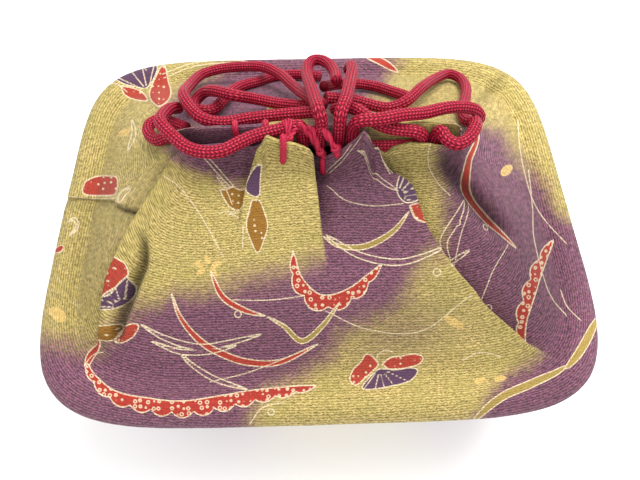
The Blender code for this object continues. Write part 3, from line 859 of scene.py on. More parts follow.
# the print: own generic blades, ribbons, petals and butterflies, at the photograph's places
# each blade or petal: a line through the photograph, its greatest width in pixels and how blunt
# its ends are; ribbons are scalloped on their right side
fills = {
    "red": (
        (((171, 293), (180, 317), (197, 338), (218, 352), (246, 362), (280, 362), (318, 344)), 6.5, 0.6),
        (((210, 270), (222, 296), (244, 310), (266, 316)), 5.5, 0.6),
        (((105, 340), (98, 348), (90, 357), (86, 368)), 8, 0.5),
        (((474, 124), (477, 138), (468, 162), (467, 184), (474, 200), (487, 216), (504, 234),
          (516, 248)), 7, 0.6),
        (((366, 57), (380, 61), (398, 72)), 7, 0.6),
        (((56, 252), (64, 246)), 6, 0.5),
        (((-60, 300), (-40, 330), (-6, 344)), 7, 0.6),
        (((180, 470), (230, 492), (300, 488)), 8, 0.6),
        (((640, 200), (664, 176), (690, 170)), 7, 0.6),
        (((250, -20), (300, -36), (360, -30)), 8, 0.6),
        (((470, -30), (500, -10), (540, -4)), 8, 0.6),
        (((300, 540), (340, 552), (396, 540)), 7, 0.6),
    ),
    "dappled": (
        (((293, 251), (299, 280), (320, 300), (350, 293), (382, 264)), 22, 0.75),
        (((86, 362), (94, 378), (116, 396), (154, 404), (186, 406), (226, 400), (258, 394),
          (316, 386)), 22, 0.5),
        (((553, 240), (541, 264), (531, 291), (524, 320), (526, 346)), 17, 0.5),
        (((560, 480), (600, 500), (650, 496), (690, 470)), 16, 0.6),
        (((20, 460), (60, 500), (120, 516), (180, 530)), 16, 0.6),
        (((180, -60), (240, -80), (320, -84), (390, -70)), 16, 0.6),
        (((-80, 120), (-50, 160), (-30, 180)), 14, 0.6),
        (((700, 260), (716, 220), (720, 180)), 14, 0.6),
    ),
    "gold": (
        (((266, 316), (284, 326), (302, 341), (322, 326), (340, 302)), 5, 0.6),
        (((322, 236), (340, 246), (366, 246), (392, 232), (408, 212)), 5.5, 0.6),
        (((474, 420), (500, 398), (530, 384), (552, 374), (566, 366)), 8, 0.35),
        (((566, 368), (576, 356), (586, 340), (597, 318)), 8.5, 0.35),
    ),
    "petal": (
        (((194, 263), (204, 266)), 6, 0.5), (((207, 255), (208, 265)), 6, 0.5),
        (((211, 266), (222, 262)), 6, 0.5), (((210, 268), (217, 276)), 6, 0.5),
        (((205, 268), (197, 275)), 6, 0.5),
        (((51, 309), (58, 314), (66, 320)), 13, 0.35),
        (((443, 316), (452, 321), (463, 327)), 8, 0.5),
        (((474, 382), (486, 379)), 6, 0.5), (((494, 380), (506, 377)), 6, 0.5),
        (((500, 176), (505, 171), (511, 166)), 9, 0.5),
        (((118, 136), (124, 133), (131, 130)), 6, 0.5),
        (((10, 300), (16, 312), (26, 318)), 9, 0.5),
        (((340, 470), (352, 464), (366, 466)), 8, 0.5),
        (((420, -40), (436, -30), (452, -32)), 9, 0.5),
        (((60, 30), (72, 24), (88, 24)), 9, 0.5),
        (((620, 340), (640, 352), (650, 372)), 8, 0.5),
    ),
    "brown": (
        (((660, 330), (676, 342), (700, 344)), 13, 0.4),
        (((-16, 240), (0, 250), (16, 252)), 12, 0.4),
    ),
    "violet": (
        (((120, -34), (132, -46), (150, -50)), 12, 0.4),
        (((-30, 226), (-14, 234), (0, 236)), 9, 0.4),
    ),
    "open": (
        (((140, 324), (165, 338), (200, 347), (232, 342), (262, 334)), 6, 0.6),
        (((151, 341), (178, 351), (206, 352), (236, 346)), 5, 0.6),
        (((179, 352), (194, 366), (217, 380), (248, 390)), 5, 0.6),
        (((326, 235), (359, 255), (400, 262), (441, 249)), 6.5, 0.5),
        (((466, 199), (455, 221), (445, 242), (452, 262)), 8, 0.7),
        (((68, 222), (75, 219), (78, 227), (70, 236)), 3, 0.6),
        (((120, 202), (123, 194), (130, 189)), 5, 0.5),
        (((446, 268), (470, 250)), 4, 0.6),
        (((132, 120), (134, 134), (128, 150)), 4, 0.6),
        (((620, 420), (660, 400), (700, 404)), 6, 0.6),
        (((200, 450), (260, 470), (330, 452)), 6, 0.6),
        (((60, 440), (20, 420), (-30, 424)), 6, 0.6),
        (((300, -10), (360, -20), (430, -12)), 6, 0.6),
        (((-40, 260), (-70, 300), (-80, 350)), 6, 0.6),
        (((650, 240), (690, 236), (730, 250)), 6, 0.6),
    ),
}
# wings, fans and buds: rounded outlines
patches = {
    "dotted": (
        ((379, 365), (373, 357), (366, 354), (361, 362), (353, 370), (350, 380), (356, 385), (364, 379)),
        ((382, 365), (390, 358), (402, 356), (414, 354), (423, 357), (419, 364), (406, 368), (392, 370)),
        ((122, 257), (129, 264), (131, 274), (123, 282), (113, 296), (108, 290), (113, 272)),
        ((117, 334), (124, 327), (134, 323), (139, 326), (134, 336), (124, 342), (115, 342)),
        ((85, 182), (92, 178), (100, 176), (109, 176), (117, 178), (116, 193), (104, 195), (84, 193)),
        ((160, 68), (165, 66), (168, 80), (171, 92), (167, 102), (158, 106), (150, 98), (151, 88)),
        ((121, 86), (132, 88), (142, 92), (147, 100), (136, 100), (125, 95)),
        ((408, 206), (415, 205), (419, 213), (421, 224), (413, 219)),
        ((640, 296), (660, 300), (680, 312), (676, 326), (652, 322)),
        ((-24, 210), (-4, 206), (10, 220), (16, 240), (-6, 236)),
        ((420, 460), (440, 454), (462, 462), (452, 478), (430, 474)),
        ((122, -12), (140, -26), (160, -30), (164, -14), (140, 0)),
    ),
    "violet": (
        ((379, 369), (396, 369), (412, 368), (418, 371), (410, 381), (392, 386), (374, 389), (362, 388),
         (370, 377)),
        ((130, 276), (133, 286), (131, 297), (122, 306), (107, 308), (111, 296), (120, 286)),
        ((263, 165), (261, 180), (260, 196), (253, 196), (249, 189), (254, 176)),
        ((396, 178), (404, 176), (412, 184), (414, 200), (405, 203), (397, 194)),
        ((115, 79), (122, 71), (134, 68), (146, 66), (157, 66), (155, 76), (147, 88), (136, 87),
         (124, 84)),
        ((650, 328), (676, 330), (700, 326), (690, 344), (664, 346)),
        ((-20, 240), (0, 242), (10, 248), (-4, 262), (-20, 256)),
    ),
    "brown": (
        ((219, 189), (226, 190), (232, 187), (240, 190), (247, 189), (245, 203), (238, 210), (229, 206)),
        ((253, 201), (260, 201), (265, 213), (268, 226), (264, 240), (258, 253), (251, 240), (247, 226),
         (250, 212)),
        ((104, 326), (112, 324), (119, 325), (119, 334), (113, 340), (102, 338)),
        ((456, 478), (474, 478), (488, 488), (474, 496), (460, 490)),
    ),
}
# radiating veins on the violet wings: hub and reach
veins = (((380, 368), 34), ((124, 306), 28), ((397, 196), 24), ((148, 92), 34))
veinRays = 7
# single fine lines, in two layers because lines of one layer mustn't cross
fineLines = {
    "lineOne": (
        ((163, 74), (190, 64), (222, 60), (254, 63), (284, 75)),
        ((326, 162), (345, 151), (362, 138)),
        ((357, 158), (370, 174), (386, 187), (397, 191)),
        ((369, 142), (376, 154), (388, 172)),
        ((208, 160), (219, 172), (234, 187)),
        ((116, 205), (120, 193), (129, 186)),
        ((220, 214), (228, 211), (239, 218)),
        ((528, 170), (532, 210), (534, 240), (548, 292), (566, 316)),
        ((170, 179), (182, 189), (202, 217), (223, 255)),
        ((326, 311), (367, 329), (420, 331), (468, 296)),
        ((508, 245), (493, 272), (483, 304)),
        ((233, 300), (268, 300), (303, 296)),
        ((327, 184), (345, 200), (372, 206), (402, 204)),
        ((127, 92), (118, 84), (110, 84)),
        ((246, 206), (236, 212), (228, 216)),
        ((244, 226), (243, 240), (243, 248)),
        ((462, 360), (480, 352), (500, 356)),
        ((104, 352), (92, 356), (84, 366)),
        ((250, 424), (262, 408), (284, 402)),
        ((560, 290), (566, 306), (580, 320)),
        ((600, 460), (650, 446), (700, 450)),
        ((-10, 380), (-50, 390), (-100, 380)),
        ((60, -20), (100, -50), (110, -90)),
        ((540, 20), (580, 10), (620, 20)),
    ),
    "lineTwo": (
        ((164, 78), (192, 67), (222, 63), (250, 65)),
        ((518, 120), (520, 150), (526, 182), (534, 204), (548, 224), (566, 243)),
        ((379, 365), (377, 356), (385, 350), (393, 352)),
        ((204, 160), (214, 172), (230, 187)),
        ((66, 195), (92, 198), (116, 197)),
        ((471, 203), (461, 234), (456, 268)),
        ((357, 158), (372, 171), (388, 183), (397, 191)),
        ((330, 165), (348, 154), (364, 144)),
        ((374, 150), (380, 160), (390, 171)),
        ((216, 178), (226, 190), (232, 204)),
        ((432, 130), (430, 160), (438, 182), (450, 196)),
        ((210, 382), (250, 372), (300, 352)),
        ((146, 70), (140, 62), (132, 60)),
        ((330, 500), (380, 490), (430, 500)),
        ((700, 380), (720, 340), (710, 300)),
    ),
}
# small rings: middle and radius
rings = (
    ((238, 314), 3.4), ((271, 412), 3.2), ((436, 272), 3.6), ((487, 227), 3.0), ((491, 309), 3.2),
    ((457, 223), 2.8), ((640, 270), 4), ((-10, 280), 4), ((380, 470), 4), ((220, -30), 4),
)
farAway = 6.0  # pixels beyond which a shape isn't looked for
# a ribbon's scallops: length in pixels, sharpness, shares of the half width between and at
# their tips, and on the straight side
scallop = {"length": 21, "power": 0.7, "least": 0.45, "wave": 0.6, "straight": 0.5}


def bladeDistance(flat, line, width, blunt, scallops):
    distance, share, _ = nearLine(flat, line)
    half = width / 2 * np.clip(np.sin(math.pi * np.clip(share, 0, 1)), 0, 1) ** blunt
    if scallops:
        waves = np.abs(np.sin(math.pi * share * scallops)) ** scallop["power"]
        waves = scallop["least"] + scallop["wave"] * waves
        half = half * np.where(distance > 0, waves, scallop["straight"])
    return np.abs(distance) - half


def printLayers(flat):
    # for each colour the distance to its nearest shape, negative inside
    layers = {name: np.full(len(flat), farAway) for name in (*fills, *patches, "vein", *fineLines)}

    def lay(name, near, found):
        layers[name][near] = np.minimum(layers[name][near], found)

    for name, shapes in fills.items():
        for points, width, blunt in shapes:
            line = curve(points)
            near = reached(flat, line, width + farAway)
            if len(near):
                length = distances(line, 0)[-1]
                scallops = max(3, round(length / scallop["length"])) if name == "dappled" else 0
                lay(name, near, bladeDistance(flat[near], line, width, blunt, scallops))
    for name, outlines in patches.items():
        for outline in outlines:
            closed = curve(outline + outline[:1])
            near = reached(flat, closed, farAway)
            if len(near):
                lay(name, near, -insidePolygon(flat[near], closed))
    for hub, reach in veins:
        away = flat - hub
        far = np.linalg.norm(away, axis=1)
        fan = np.abs(np.sin(veinRays * np.arctan2(away[:, 1], away[:, 0]))) * far / veinRays
        lay("vein", slice(None), np.where((far < reach) & (far > farAway), fan, farAway))
    for middle, radius in rings:
        # a ring with a spot in its middle
        far = np.linalg.norm(flat - middle, axis=1)
        spot = 0.4 * radius
        lay("open", slice(None), np.abs(far - spot) - (radius - spot))
    for name, lines in fineLines.items():
        signed = layers[name]
        for points in lines:
            line = curve(points)
            near = reached(flat, line, farAway)
            if len(near):
                distance = nearLine(flat[near], line)[0]
                closer = np.abs(distance) < np.abs(signed[near])
                signed[near] = np.where(closer, distance, signed[near])
        layers[name + "Reach"] = np.abs(signed)
    return layers


# the dyes and the cream gum; olive and plum each hold a shaded and a lit colour of their threads, mixed
# by the relief as painted light
crepeColours = {
    "olive": ((0.150, 0.112, 0.020), (0.600, 0.452, 0.165)),
    "moss": (0.300, 0.262, 0.060),
    "plum": ((0.032, 0.008, 0.022), (0.235, 0.088, 0.142)),
    "red": (0.340, 0.032, 0.018),
    "dappled": (0.330, 0.026, 0.015),
    "dotted": (0.330, 0.036, 0.018),
    "gold": (0.300, 0.205, 0.050),
    "petal": (0.600, 0.400, 0.130),
    "brown": (0.230, 0.105, 0.010),
    "violet": (0.075, 0.032, 0.070),
    "cream": (0.640, 0.520, 0.340),
}
# pixels that the gum line reaches on each side of the edge of a colour's shapes, 0 for none
outlined = {
    "red": 0.85, "dappled": 0.9, "dotted": 0.9, "gold": 0.75, "petal": 0, "brown": 0.8,
    "violet": 0.8, "open": 0.85,
}
ribGap = 1.12  # millimetres between the crepe's ribs


# the crepe's threads: shares of ribs, twisted grain and pebbles in its relief, the relief where the
# painted light on the threads is darkest and lightest, how speckled the dyes meet, and the share
# of moss colour in the olive
weave = {
    "rib": 0.36, "grain": 1.2, "pebble": 0.6, "dark": 0.72, "light": 1.46, "speckle": 1.9,
    "moss": 0.45, "sheen": 0.04, "depth": 0.0004, "dots": 1.65,
}


def crepeMaterial():
    kit = Finish("crepe")
    across, upward = kit.clothMap()
    printPlace = kit.node("UVMap", 0, uv_map="print")

    def fact(name):
        return kit.node("Attribute", "Fac", attribute_name=name)

    def threads(wide, tall, detail):
        place = kit.node("CombineXYZ", 0, {0: across * wide, 1: upward * tall})
        return kit.noise(place, 1.0, detail)

    # wavy ribs, broken by coarse twisted threads
    phase = upward * (2 * math.pi / ribGap) + threads(0.75, 0.8, 2.0) * 10.0
    rib = kit.ramp(kit.calc("SINE", phase), -1, 1)
    grain = threads(1.25, 1.7, 3.0)
    relief = rib * weave["rib"] + grain * weave["grain"]
    relief = relief + kit.noise(printPlace, 2.7, 2.0) * weave["pebble"]
    # painted light on the threads, partly their own mottle: high relief takes the lit colour and low
    # relief the shaded one
    light = kit.ramp(relief, weave["dark"], weave["light"])
    # the dyes meet in a speckled edge, thread by thread
    plum = kit.ramp(fact("plum") + (grain - 0.5) * weave["speckle"], 0.08, 0.92)
    cloudy = kit.ramp(kit.noise(printPlace, 0.35, 2.0), 0.3, 0.7) * weave["moss"]
    olive = kit.mix(cloudy, kit.mix(light, *crepeColours["olive"]), crepeColours["moss"])
    colour = kit.mix(plum, olive, kit.mix(light, *crepeColours["plum"]))
    # rings, spots and veins drawn inside the shapes
    dots = {"Vector": printPlace, "Scale": weave["dots"], "Randomness": 0.45}
    dots = kit.node("TexVoronoi", "Distance", dots)
    spot = kit.ramp(dots, 0.24, 0.17)
    marks = {
        "dappled": kit.ramp(dots, 0.40, 0.32) * kit.ramp(dots, 0.13, 0.21),
        "dotted": spot, "brown": spot, "violet": kit.ramp(fact("vein"), 0.85, 0.4),
    }
    edges = 0.0
    for name, width in outlined.items():
        distance = fact(name)
        if name in crepeColours:
            inside, shade = kit.ramp(distance, 0.25, -0.25), crepeColours[name]
            if not width:
                inside = inside * kit.ramp(grain, 0.35, 0.6, 0.45, 0.95)
            if name in marks:
                shade = kit.mix(marks[name] * 0.8, shade, crepeColours["cream"])
            colour = kit.mix(inside, colour, shade)
        if width:
            edge = kit.ramp(kit.calc("ABSOLUTE", distance), width, width * 0.45)
            edges = kit.calc("MAXIMUM", edges, edge)
    for name in fineLines:
        line = kit.ramp(kit.calc("ABSOLUTE", fact(name)), 0.75, 0.3)
        line = line * kit.calc("LESS_THAN", fact(name + "Reach"), 1.3) * 0.9
        edges = kit.calc("MAXIMUM", edges, line)
    worn = kit.ramp(grain, 0.30, 0.55, 0.35, 1.0)
    colour = kit.mix(edges * worn, colour, crepeColours["cream"])
    # painted light: the dyed and printed colour is scaled lighter on high relief and darker on low, and
    # by the painted light and dye factor
    lit = kit.calc("MAXIMUM", kit.ramp(light, 0, 1, 0.68, 1.22) * fact("tone"), 0.0)
    colour = kit.node("VectorMath", 0, {0: colour, "Scale": lit}, operation="SCALE")
    kit.shader.inputs["Sheen Weight"].default_value = weave["sheen"]
    return kit.finish(colour, 0.8, 0.3, relief, 0.8, weave["depth"])


crepe = crepeMaterial()


def addPrint(mesh, flat):
    # each vertex's dye, print and painted light and shade, from where it lies in the photograph
    spots = flat.reshape(-1, 2)
    facts = {"plum": plumShare(spots), "tone": paintedLightAndDyeShare(spots), **printLayers(spots)}
    for name, values in facts.items():
        attribute = mesh.attributes.new(name, "FLOAT", "POINT")
        attribute.data.foreach_set("value", values.astype(np.float32))
    addMap(mesh, "print", spots / 10)


leastShare = 0.31
halves = ((-1, "Front"), (1, "Back"))  # each half's side in Y, and its name


def declareSheet(piece, places, level=False):
    # works out the flat cut's size and area, as wide as the longest row and as long as the longest
    # column; the results are not kept
    if level:
        wide, tall = (float(np.ptp(places[..., axis])) * mm for axis in (0, 1))
    else:
        wide, tall = (float(distances(places, axis).max()) * mm for axis in (1, 0))
    faces = np.cross(places[1:, 1:] - places[:-1, :-1], places[1:, :-1] - places[:-1, 1:])
    area = float(np.linalg.norm(faces, axis=-1).sum()) / 2 * mm * mm
    area = min(max(area, leastShare * wide * tall), wide * tall)


def addCloth():
    made = {}
    for side, half in halves:
        places, flat, uv, rise = clothHalf(side)
        name = "crepe" + half
        nodes = [word + half.lower() for word in ("hull_cover_", "upper_")]
        mesh = gridMesh(name, places * mm, uv)
        addPrint(mesh, flat)
        piece = addPiece(name, mesh, crepe, nodes)
        declareSheet(piece, places)
        made[side] = places, rise
        print(name, "made")
    return made


cloths = addCloth()


def gridNormals(places):
    normals = np.cross(np.gradient(places, axis=1), np.gradient(places, axis=0))
    return normals / np.maximum(np.linalg.norm(normals, axis=-1, keepdims=True), 1e-9)


# the lining under the upper crepe, on the wall and on the floor, in millimetres and degrees;
# under the crepe it is laid out from the crepe's rows; turn is the span of its rounded top edge
lining = {
    "dark": (0.100, 0.012, 0.016), "pale": (0.260, 0.045, 0.050), "threads": 1.6,
    "gap": 1.9, "firstRow": 72, "lastRow": -14, "upperMap": (380, 90), "lean": 19.49,
    "wallDepth": 9.3, "foot": 5.2, "wallTop": 65.5, "edge": 6.1, "turn": (212, 162),
    "wallRows": 64, "turnRows": 20, "wallWave": 0.25, "wallWaves": 56,
    "floorHeight": 9.1, "floorInset": 8.2, "floorDrop": 0.35, "floorWave": 0.12,
}


def liningMaterial():
    # plain woven cotton
    kit = Finish("liningCotton")
    over, under = (kit.calc("SINE", way * (math.pi * lining["threads"])) for way in kit.clothMap())
    slub = kit.noise(kit.node("UVMap", 0, uv_map="cloth"), 0.8, 3.0)
    light = kit.ramp(over * under, -1, 1) * 0.4 + slub * 0.8
    colour = kit.mix(kit.ramp(light, 0.3, 0.95), lining["dark"], lining["pale"])
    return kit.finish(colour, 0.8, 0.5, light, 0.5, 0.0002)


liningCotton = liningMaterial()


def lowered(rise):
    # the lowest of each spot's neighbours, then their mean
    low, steps, passes = rise.copy(), 6, 8
    for _ in range(steps):
        low[1:-1] = np.minimum(low[1:-1], np.minimum(low[2:], low[:-2]))
        low[:, 1:-1] = np.minimum(low[:, 1:-1], np.minimum(low[:, 2:], low[:, :-2]))
    for _ in range(passes):
        low[1:-1] = (low[1:-1] * 2 + low[2:] + low[:-2]) / 4
        low[:, 1:-1] = (low[:, 1:-1] * 2 + low[:, 2:] + low[:, :-2]) / 4
    return low


def addUpperLinings():
    for side, half in halves:
        cloth, rise = cloths[side]
        cloth = cloth + photoForward * np.maximum(rise - lowered(rise), 0)[..., None]
        rows = cloth[lining["firstRow"]:lining["lastRow"]:3, ::4]
        places = rows - gridNormals(rows) * lining["gap"]
        wide, tall = lining["upperMap"]
        uv = np.meshgrid(np.linspace(0, wide, places.shape[1]), np.linspace(0, tall, len(places)))
        name, node = "liningUpper" + half, "upper_lining_" + half.lower()
        mesh = gridMesh(name, places * mm, np.stack(uv, axis=-1))
        declareSheet(addPiece(name, mesh, liningCotton, (node,)), places)


def planRings(rows, columns, wave=0):
    # closed rings of the bag's plan, one for each (inset, share of the way out, height)
    x, y = unitRing(np.linspace(0, 2 * math.pi, columns + 1))
    inset, share, height = np.array(rows, float).T[:, :, None]
    wide, deep = ((form[name] - inset - wave) * share for name in ("halfWidth", "halfDepth"))
    return np.stack(np.broadcast_arrays(wide * x, deep * y, height), axis=-1)


def lengthMap(places):
    return np.stack([distances(places, 1), distances(places, 0)], axis=-1)


def addWallLining():
    lean, edge = math.radians(lining["lean"]), lining["edge"]
    inset = form["flare"] + lining["wallDepth"] / math.cos(lean) + 0.3
    heights = np.linspace(lining["foot"], lining["wallTop"], lining["wallRows"])
    rows = [(inset - height * math.tan(lean), 1, height) for height in heights]
    for turn in np.radians(np.linspace(*lining["turn"], lining["turnRows"])):
        inset = form["rimRadius"] - edge * math.cos(turn)
        rows.append((inset, 1, form["rimHeight"] + edge * math.sin(turn)))
    waves = lining["wallWaves"]
    u, v = np.meshgrid(np.linspace(0, waves, 421), np.arange(len(rows)) / 8)
    wave = valueNoise(u % waves, v, 21) * lining["wallWave"]
    wave[:, -1] = wave[:, 0]
    places = planRings(rows, 420, wave)
    mesh = gridMesh("liningWall", places * mm, lengthMap(places), closed=True)
    mesh.flip_normals()
    piece = addPiece("liningWall", mesh, liningCotton, ("lining_wall",), "basket")
    declareSheet(piece, places)


def addFloorLining():
    inset, height = form["flare"] + lining["floorInset"], lining["floorHeight"]
    rows = [(inset, share, height) for share in np.linspace(0.0, 0.995, 70)]
    places = planRings([*rows, (inset, 1.0, height - lining["floorDrop"])], 260)
    wave = valueNoise(places[..., 0] / 14 + 20, places[..., 1] / 14 + 20, 22)
    places[..., 2] += lining["floorWave"] * wave
    mesh = gridMesh("liningFloor", places * mm, places[..., :2], closed=True)
    piece = addPiece("liningFloor", mesh, liningCotton, ("lining_floor",), "basket")
    declareSheet(piece, places, level=True)


# the base's cover: shares of the way out and heights where it turns up over the board's edge
baseCover = {
    "inset": 0.5, "height": 0.02,
    "turn": ((0.994, 0.06), (0.999, 0.35), (1.0, 0.8), (0.998, 1.3), (0.99, 1.55)),
    "printAt": (1320, 240),
}


def addBaseCover():
    inset = form["flare"] + baseCover["inset"]
    rows = [(inset, share, baseCover["height"]) for share in np.linspace(0.0, 0.985, 60)]
    places = planRings(rows + [(inset, *turn) for turn in baseCover["turn"]], 420)
    mesh = gridMesh("crepeBase", places * mm, places[..., :2])
    addPrint(mesh, places[..., :2] * photoScale + baseCover["printAt"])
    mesh.attributes["plum"].data.foreach_set("value", np.ones(len(mesh.vertices), np.float32))
    mergeMesh(mesh)
    piece = addPiece("crepeBase", mesh, crepe, ("base_cover",), "basket")
    declareSheet(piece, places, level=True)


# the drawstring hem: the crepe turned in over the lip and stitched down inside; it stays thin at
# the slit's ends, where the cords come out; turn is how far in and up its edge goes, in
# millimetres
hem = {
    "turn": ((0, 0), (0.35, 0.42), (1.0, 0.55), (1.55, 0.1), (1.8, -0.9)), "close": 0.3,
    "thinner": 0.62, "thinFrom": 44, "thinTo": 52, "above": 0.4, "least": 3, "rowGap": 1.2,
    "spread": 5.0, "reach": 12,
}


def addHems():
    for side, half in halves:
        name, node = "hem" + half, "hem_" + half.lower()
        lip = cloths[side][0][-1]
        tangent = np.gradient(lip, axis=0)[:, :2]
        tangent /= np.linalg.norm(tangent, axis=1)[:, None]
        inward = np.stack([-tangent[:, 1], tangent[:, 0], np.zeros(len(lip))], axis=1)
        reach = hem["reach"]
        padded = np.vstack([inward[:1]] * reach + [inward] + [inward[-1:]] * reach)
        thin = smoothstep(np.abs(lip[:, :1]), hem["thinFrom"], hem["thinTo"])
        thin = 1 - hem["thinner"] * thin
        inward = smoothed(padded, hem["spread"], reach) * thin
        rows = [lip + inward * away + np.array((0, 0, rise)) * thin for away, rise in hem["turn"]]
        last = rows[-1]
        bottom = np.minimum(form["neckHeight"] + hem["above"], last[:, 2] - hem["least"])
        for share in np.linspace(0, 1, 16)[1:]:
            row = last + inward * hem["close"] * math.sin(math.pi / 2 * share)
            row[:, 2] = last[:, 2] + (bottom - last[:, 2]) * share
            rows.append(row)
        places = np.array(rows)[:, ::2]
        flat = toPhoto(places * mm)
        flat[..., 1] = flat[0, :, 1] - np.arange(len(places))[:, None] * hem["rowGap"]
        mesh = gridMesh(name, places * mm, lengthMap(places))
        addPrint(mesh, flat)
        piece = addPiece(name, mesh, crepe, (node,), "mouth")
        declareSheet(piece, places)


# red silk loops sewn through the lip, in millimetres; each kind of strand has its count, offset,
# length of a twist and radius; steps are in metres
threads = {
    "around": 10, "dark": (0.150, 0.002, 0.014), "pale": (0.560, 0.018, 0.062),
    "step": 0.00035, "knotStep": 0.0003, "plies": 12, "plySlant": 4.0, "lift": 0.85, "sunk": -0.6,
    "knotTurns": 2.5, "knotSize": (1.25, 1.1, 2.2), "knotStrand": 0.52,
    "over": ((0.9, 1.7), (2.6, 0.6), (3.0, -4.5)),
    "leg": (4, 0.68, 6.0, 0.64), "top": (3, 0.6, 6.0, 0.6), "loose": (2, 0.52, 9.0, 0.58),
    "topLift": 1.2, "looseLift": 0.6, "legPoints": 6, "legEnd": 0.6, "beside": 3,
}


def silkMaterial():
    kit = Finish("sewingSilk")
    turn, along = kit.clothMap()
    turn = turn * (2 * math.pi * threads["plies"])
    ply = kit.ramp(kit.calc("SINE", turn + along * threads["plySlant"]), -1, 1)
    return kit.finish(kit.mix(ply, threads["dark"], threads["pale"]), 0.5, 0.25)


sewingSilk = silkMaterial()


def photoPoint(across, down, depth):
    # the point seen there in the photograph that lies on the plane y = depth, in millimetres
    ray = photoForward + photoRight * (across - view["photoWidth"] / 2) / view["focalPixels"]
    ray = ray + photoUp * (view["photoHeight"] / 2 - down) / view["focalPixels"]
    place = np.array(view["place"])
    return (place + ray * (depth * mm - place[1]) / ray[1]) / mm


def strandsOf(points, count, offset, twist, radius):
    # strands twisted round a common line
    path, _ = evenPath(points, threads["step"])
    tangents = np.gradient(path, axis=0)
    tangents /= np.linalg.norm(tangents, axis=1)[:, None]
    side = np.cross(tangents, (0.3, 1.0, 0.2))
    side /= np.linalg.norm(side, axis=1)[:, None]
    other = np.cross(tangents, side)
    for index in range(count):
        angle = 2 * math.pi * (index / count + distances(path, 0) / mm / twist)[:, None]
        yield path + offset * mm * (np.cos(angle) * side + np.sin(angle) * other), radius


def addStrands(name, node, strands):
    work = bmesh.new()
    for path, radius in strands:
        strand = tubeMesh("strand", path, radius * mm, threads["around"])
        work.from_mesh(strand)
        bpy.data.meshes.remove(strand)
    addPiece(name, meshFrom(work, name), sewingSilk, (node,), "mouth")


# each loop: where it crosses the lip, how far its leg runs down outside, where its knot sits and
# where its loose strands go, in the photograph with the depth of their ends
loops = (
    ("silkLoopFrontOne", "thread_loop_front_1", -1, 283.5, 8.6, (289, 138, -3),
     ((284, 120, 3), (290, 119, 3), (300, 126, 2))),
    ("silkLoopFrontTwo", "thread_loop_front_2", -1, 323.5, 7.4, (320, 152, -3),
     ((300, 124, 1), (303, 126, 1), (306, 128, 1), (309, 126, 1), (312, 128, 1))),
    ("silkLoopFrontThree", "thread_loop_front_3", -1, 338, 0.8, (335, 149, -4),
     ((319, 127, 1), (323, 128, 1), (326, 130, 1))),
    ("silkLoopBackOne", "thread_loop_back_1", 1, 236, 5.5, None, ()),
    ("silkLoopBackTwo", "thread_loop_back_2", 1, 266, 5.5, None, ()),
)


def legRoute(cloth, side, column, leg):
    # up outside the lip from the leg's foot, over it and down inside
    beside = threads["beside"]
    normals = gridNormals(cloth[:, column - beside:column + beside + 1])[:, beside]
    drop = distances(cloth[::-1, column], 0)
    route = []
    for back in np.linspace(leg, threads["legEnd"], threads["legPoints"]):
        row = len(cloth) - 1 - int(np.argmin(np.abs(drop - back)))
        lift = threads["sunk"] if back == leg else threads["lift"]
        route.append(cloth[row, column] + normals[row] * lift)
    over = [cloth[-1, column] + np.array((0, -side * away, up)) for away, up in threads["over"]]
    return route + over


def knotStrands(heart, lip, ends):
    # a wound knot, loose ends from it, and the strands between it and the lip
    turns = np.linspace(0, 2 * math.pi * threads["knotTurns"], 40)
    wide, deep, tall = threads["knotSize"]
    wound = np.stack([wide * np.cos(turns), deep * np.sin(turns), (turns / turns[-1] - 0.5) * tall])
    yield evenPath(heart + wound.T, threads["knotStep"])[0], threads["knotStrand"]
    for place in ends:
        end = photoPoint(*place)
        middle = (heart + end) / 2 + np.array((0, 0, threads["looseLift"]))
        yield from strandsOf((heart, middle, end), *threads["loose"])
    top = lip + np.array((0, 0, threads["topLift"]))
    yield from strandsOf((top, (top + heart) / 2, heart), *threads["top"])


def addLoops():
    for name, node, side, across, leg, knot, ends in loops:
        cloth = cloths[side][0]
        column = int(np.argmin(np.abs(toPhoto(cloth[-1] * mm)[:, 0] - across)))
        strands = [*strandsOf(legRoute(cloth, side, column, leg), *threads["leg"])]
        if knot:
            strands += knotStrands(photoPoint(*knot), cloth[-1, column], ends)
        addStrands(name, node, strands)


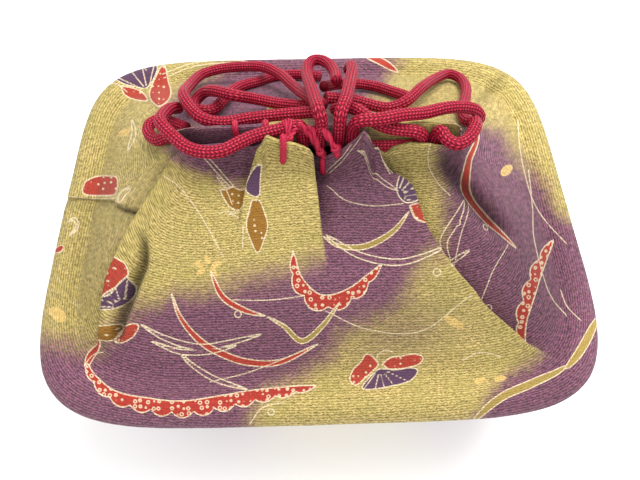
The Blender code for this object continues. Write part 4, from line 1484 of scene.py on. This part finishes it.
# what lies under the cloth: each node's material, its two colours, grain and roughness
hidden = {
    "wall_padding": ("cottonWadding", (0.600, 0.570, 0.500), (0.820, 0.800, 0.740), 700, 0.95),
    "floor_padding": ("floorWadding", (0.600, 0.570, 0.500), (0.820, 0.800, 0.740), 700, 0.95),
    "base_board": ("strawBoard", (0.300, 0.220, 0.130), (0.470, 0.370, 0.230), 900, 0.85),
    "basket_wall": ("splitCane", (0.330, 0.200, 0.085), (0.620, 0.440, 0.230), 260, 0.6),
}


def dressHidden():
    for node, (name, dark, pale, grain, roughness) in hidden.items():
        kit = Finish(name)
        fleck = kit.ramp(kit.noise(kit.node("TexCoord", "Object"), grain, 4.0), 0.3, 0.7)
        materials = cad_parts[node].data.materials
        materials.clear()
        materials.append(kit.finish(kit.mix(fleck, dark, pale), roughness))


addUpperLinings()
addWallLining()
addFloorLining()
addBaseCover()
addHems()
addLoops()
dressHidden()
print("linings, hems and threads made")

# plain pale floor and soft light; each lamp has a place, a size and a power
studio = {
    "floorSize": 6.0, "paper": (0.93, 0.93, 0.93), "around": 0.94, "aim": (0, 0, 0.08),
    "lamps": (
        ("keyLamp", (0.26, 0.32, 0.90), 0.70, 11.5),
        ("frontLamp", (-0.15, -0.55, 0.85), 0.6, 3.5),
    ),
}


def addStudio():
    scene = bpy.context.scene
    scene.view_settings.view_transform = "Standard"
    work = bmesh.new()
    bmesh.ops.create_grid(work, x_segments=1, y_segments=1, size=studio["floorSize"] / 2)
    floor = addObject("floor", meshFrom(work, "floor"))
    floor.data.materials.append(Finish("palePaper").finish(studio["paper"], 0.9))
    scene.world = bpy.data.worlds.new("studio")
    scene.world.use_nodes = True
    tree = scene.world.node_tree
    back = tree.nodes["Background"]
    back.inputs["Color"].default_value = (1.0, 1.0, 1.0, 1)
    rays, seen = (tree.nodes.new("ShaderNode" + kind) for kind in ("LightPath", "MapRange"))
    seen.inputs["To Min"].default_value = studio["around"]
    tree.links.new(rays.outputs["Is Camera Ray"], seen.inputs["Value"])
    tree.links.new(seen.outputs[0], back.inputs["Strength"])
    for name, place, size, power in studio["lamps"]:
        data = bpy.data.lights.new(name, "AREA")
        data.size, data.energy = size, power
        aim = (Vector(studio["aim"]) - Vector(place)).to_track_quat("-Z", "Y").to_matrix()
        addObject(name, data).matrix_world = Matrix.Translation(place) @ aim.to_4x4()


addStudio()
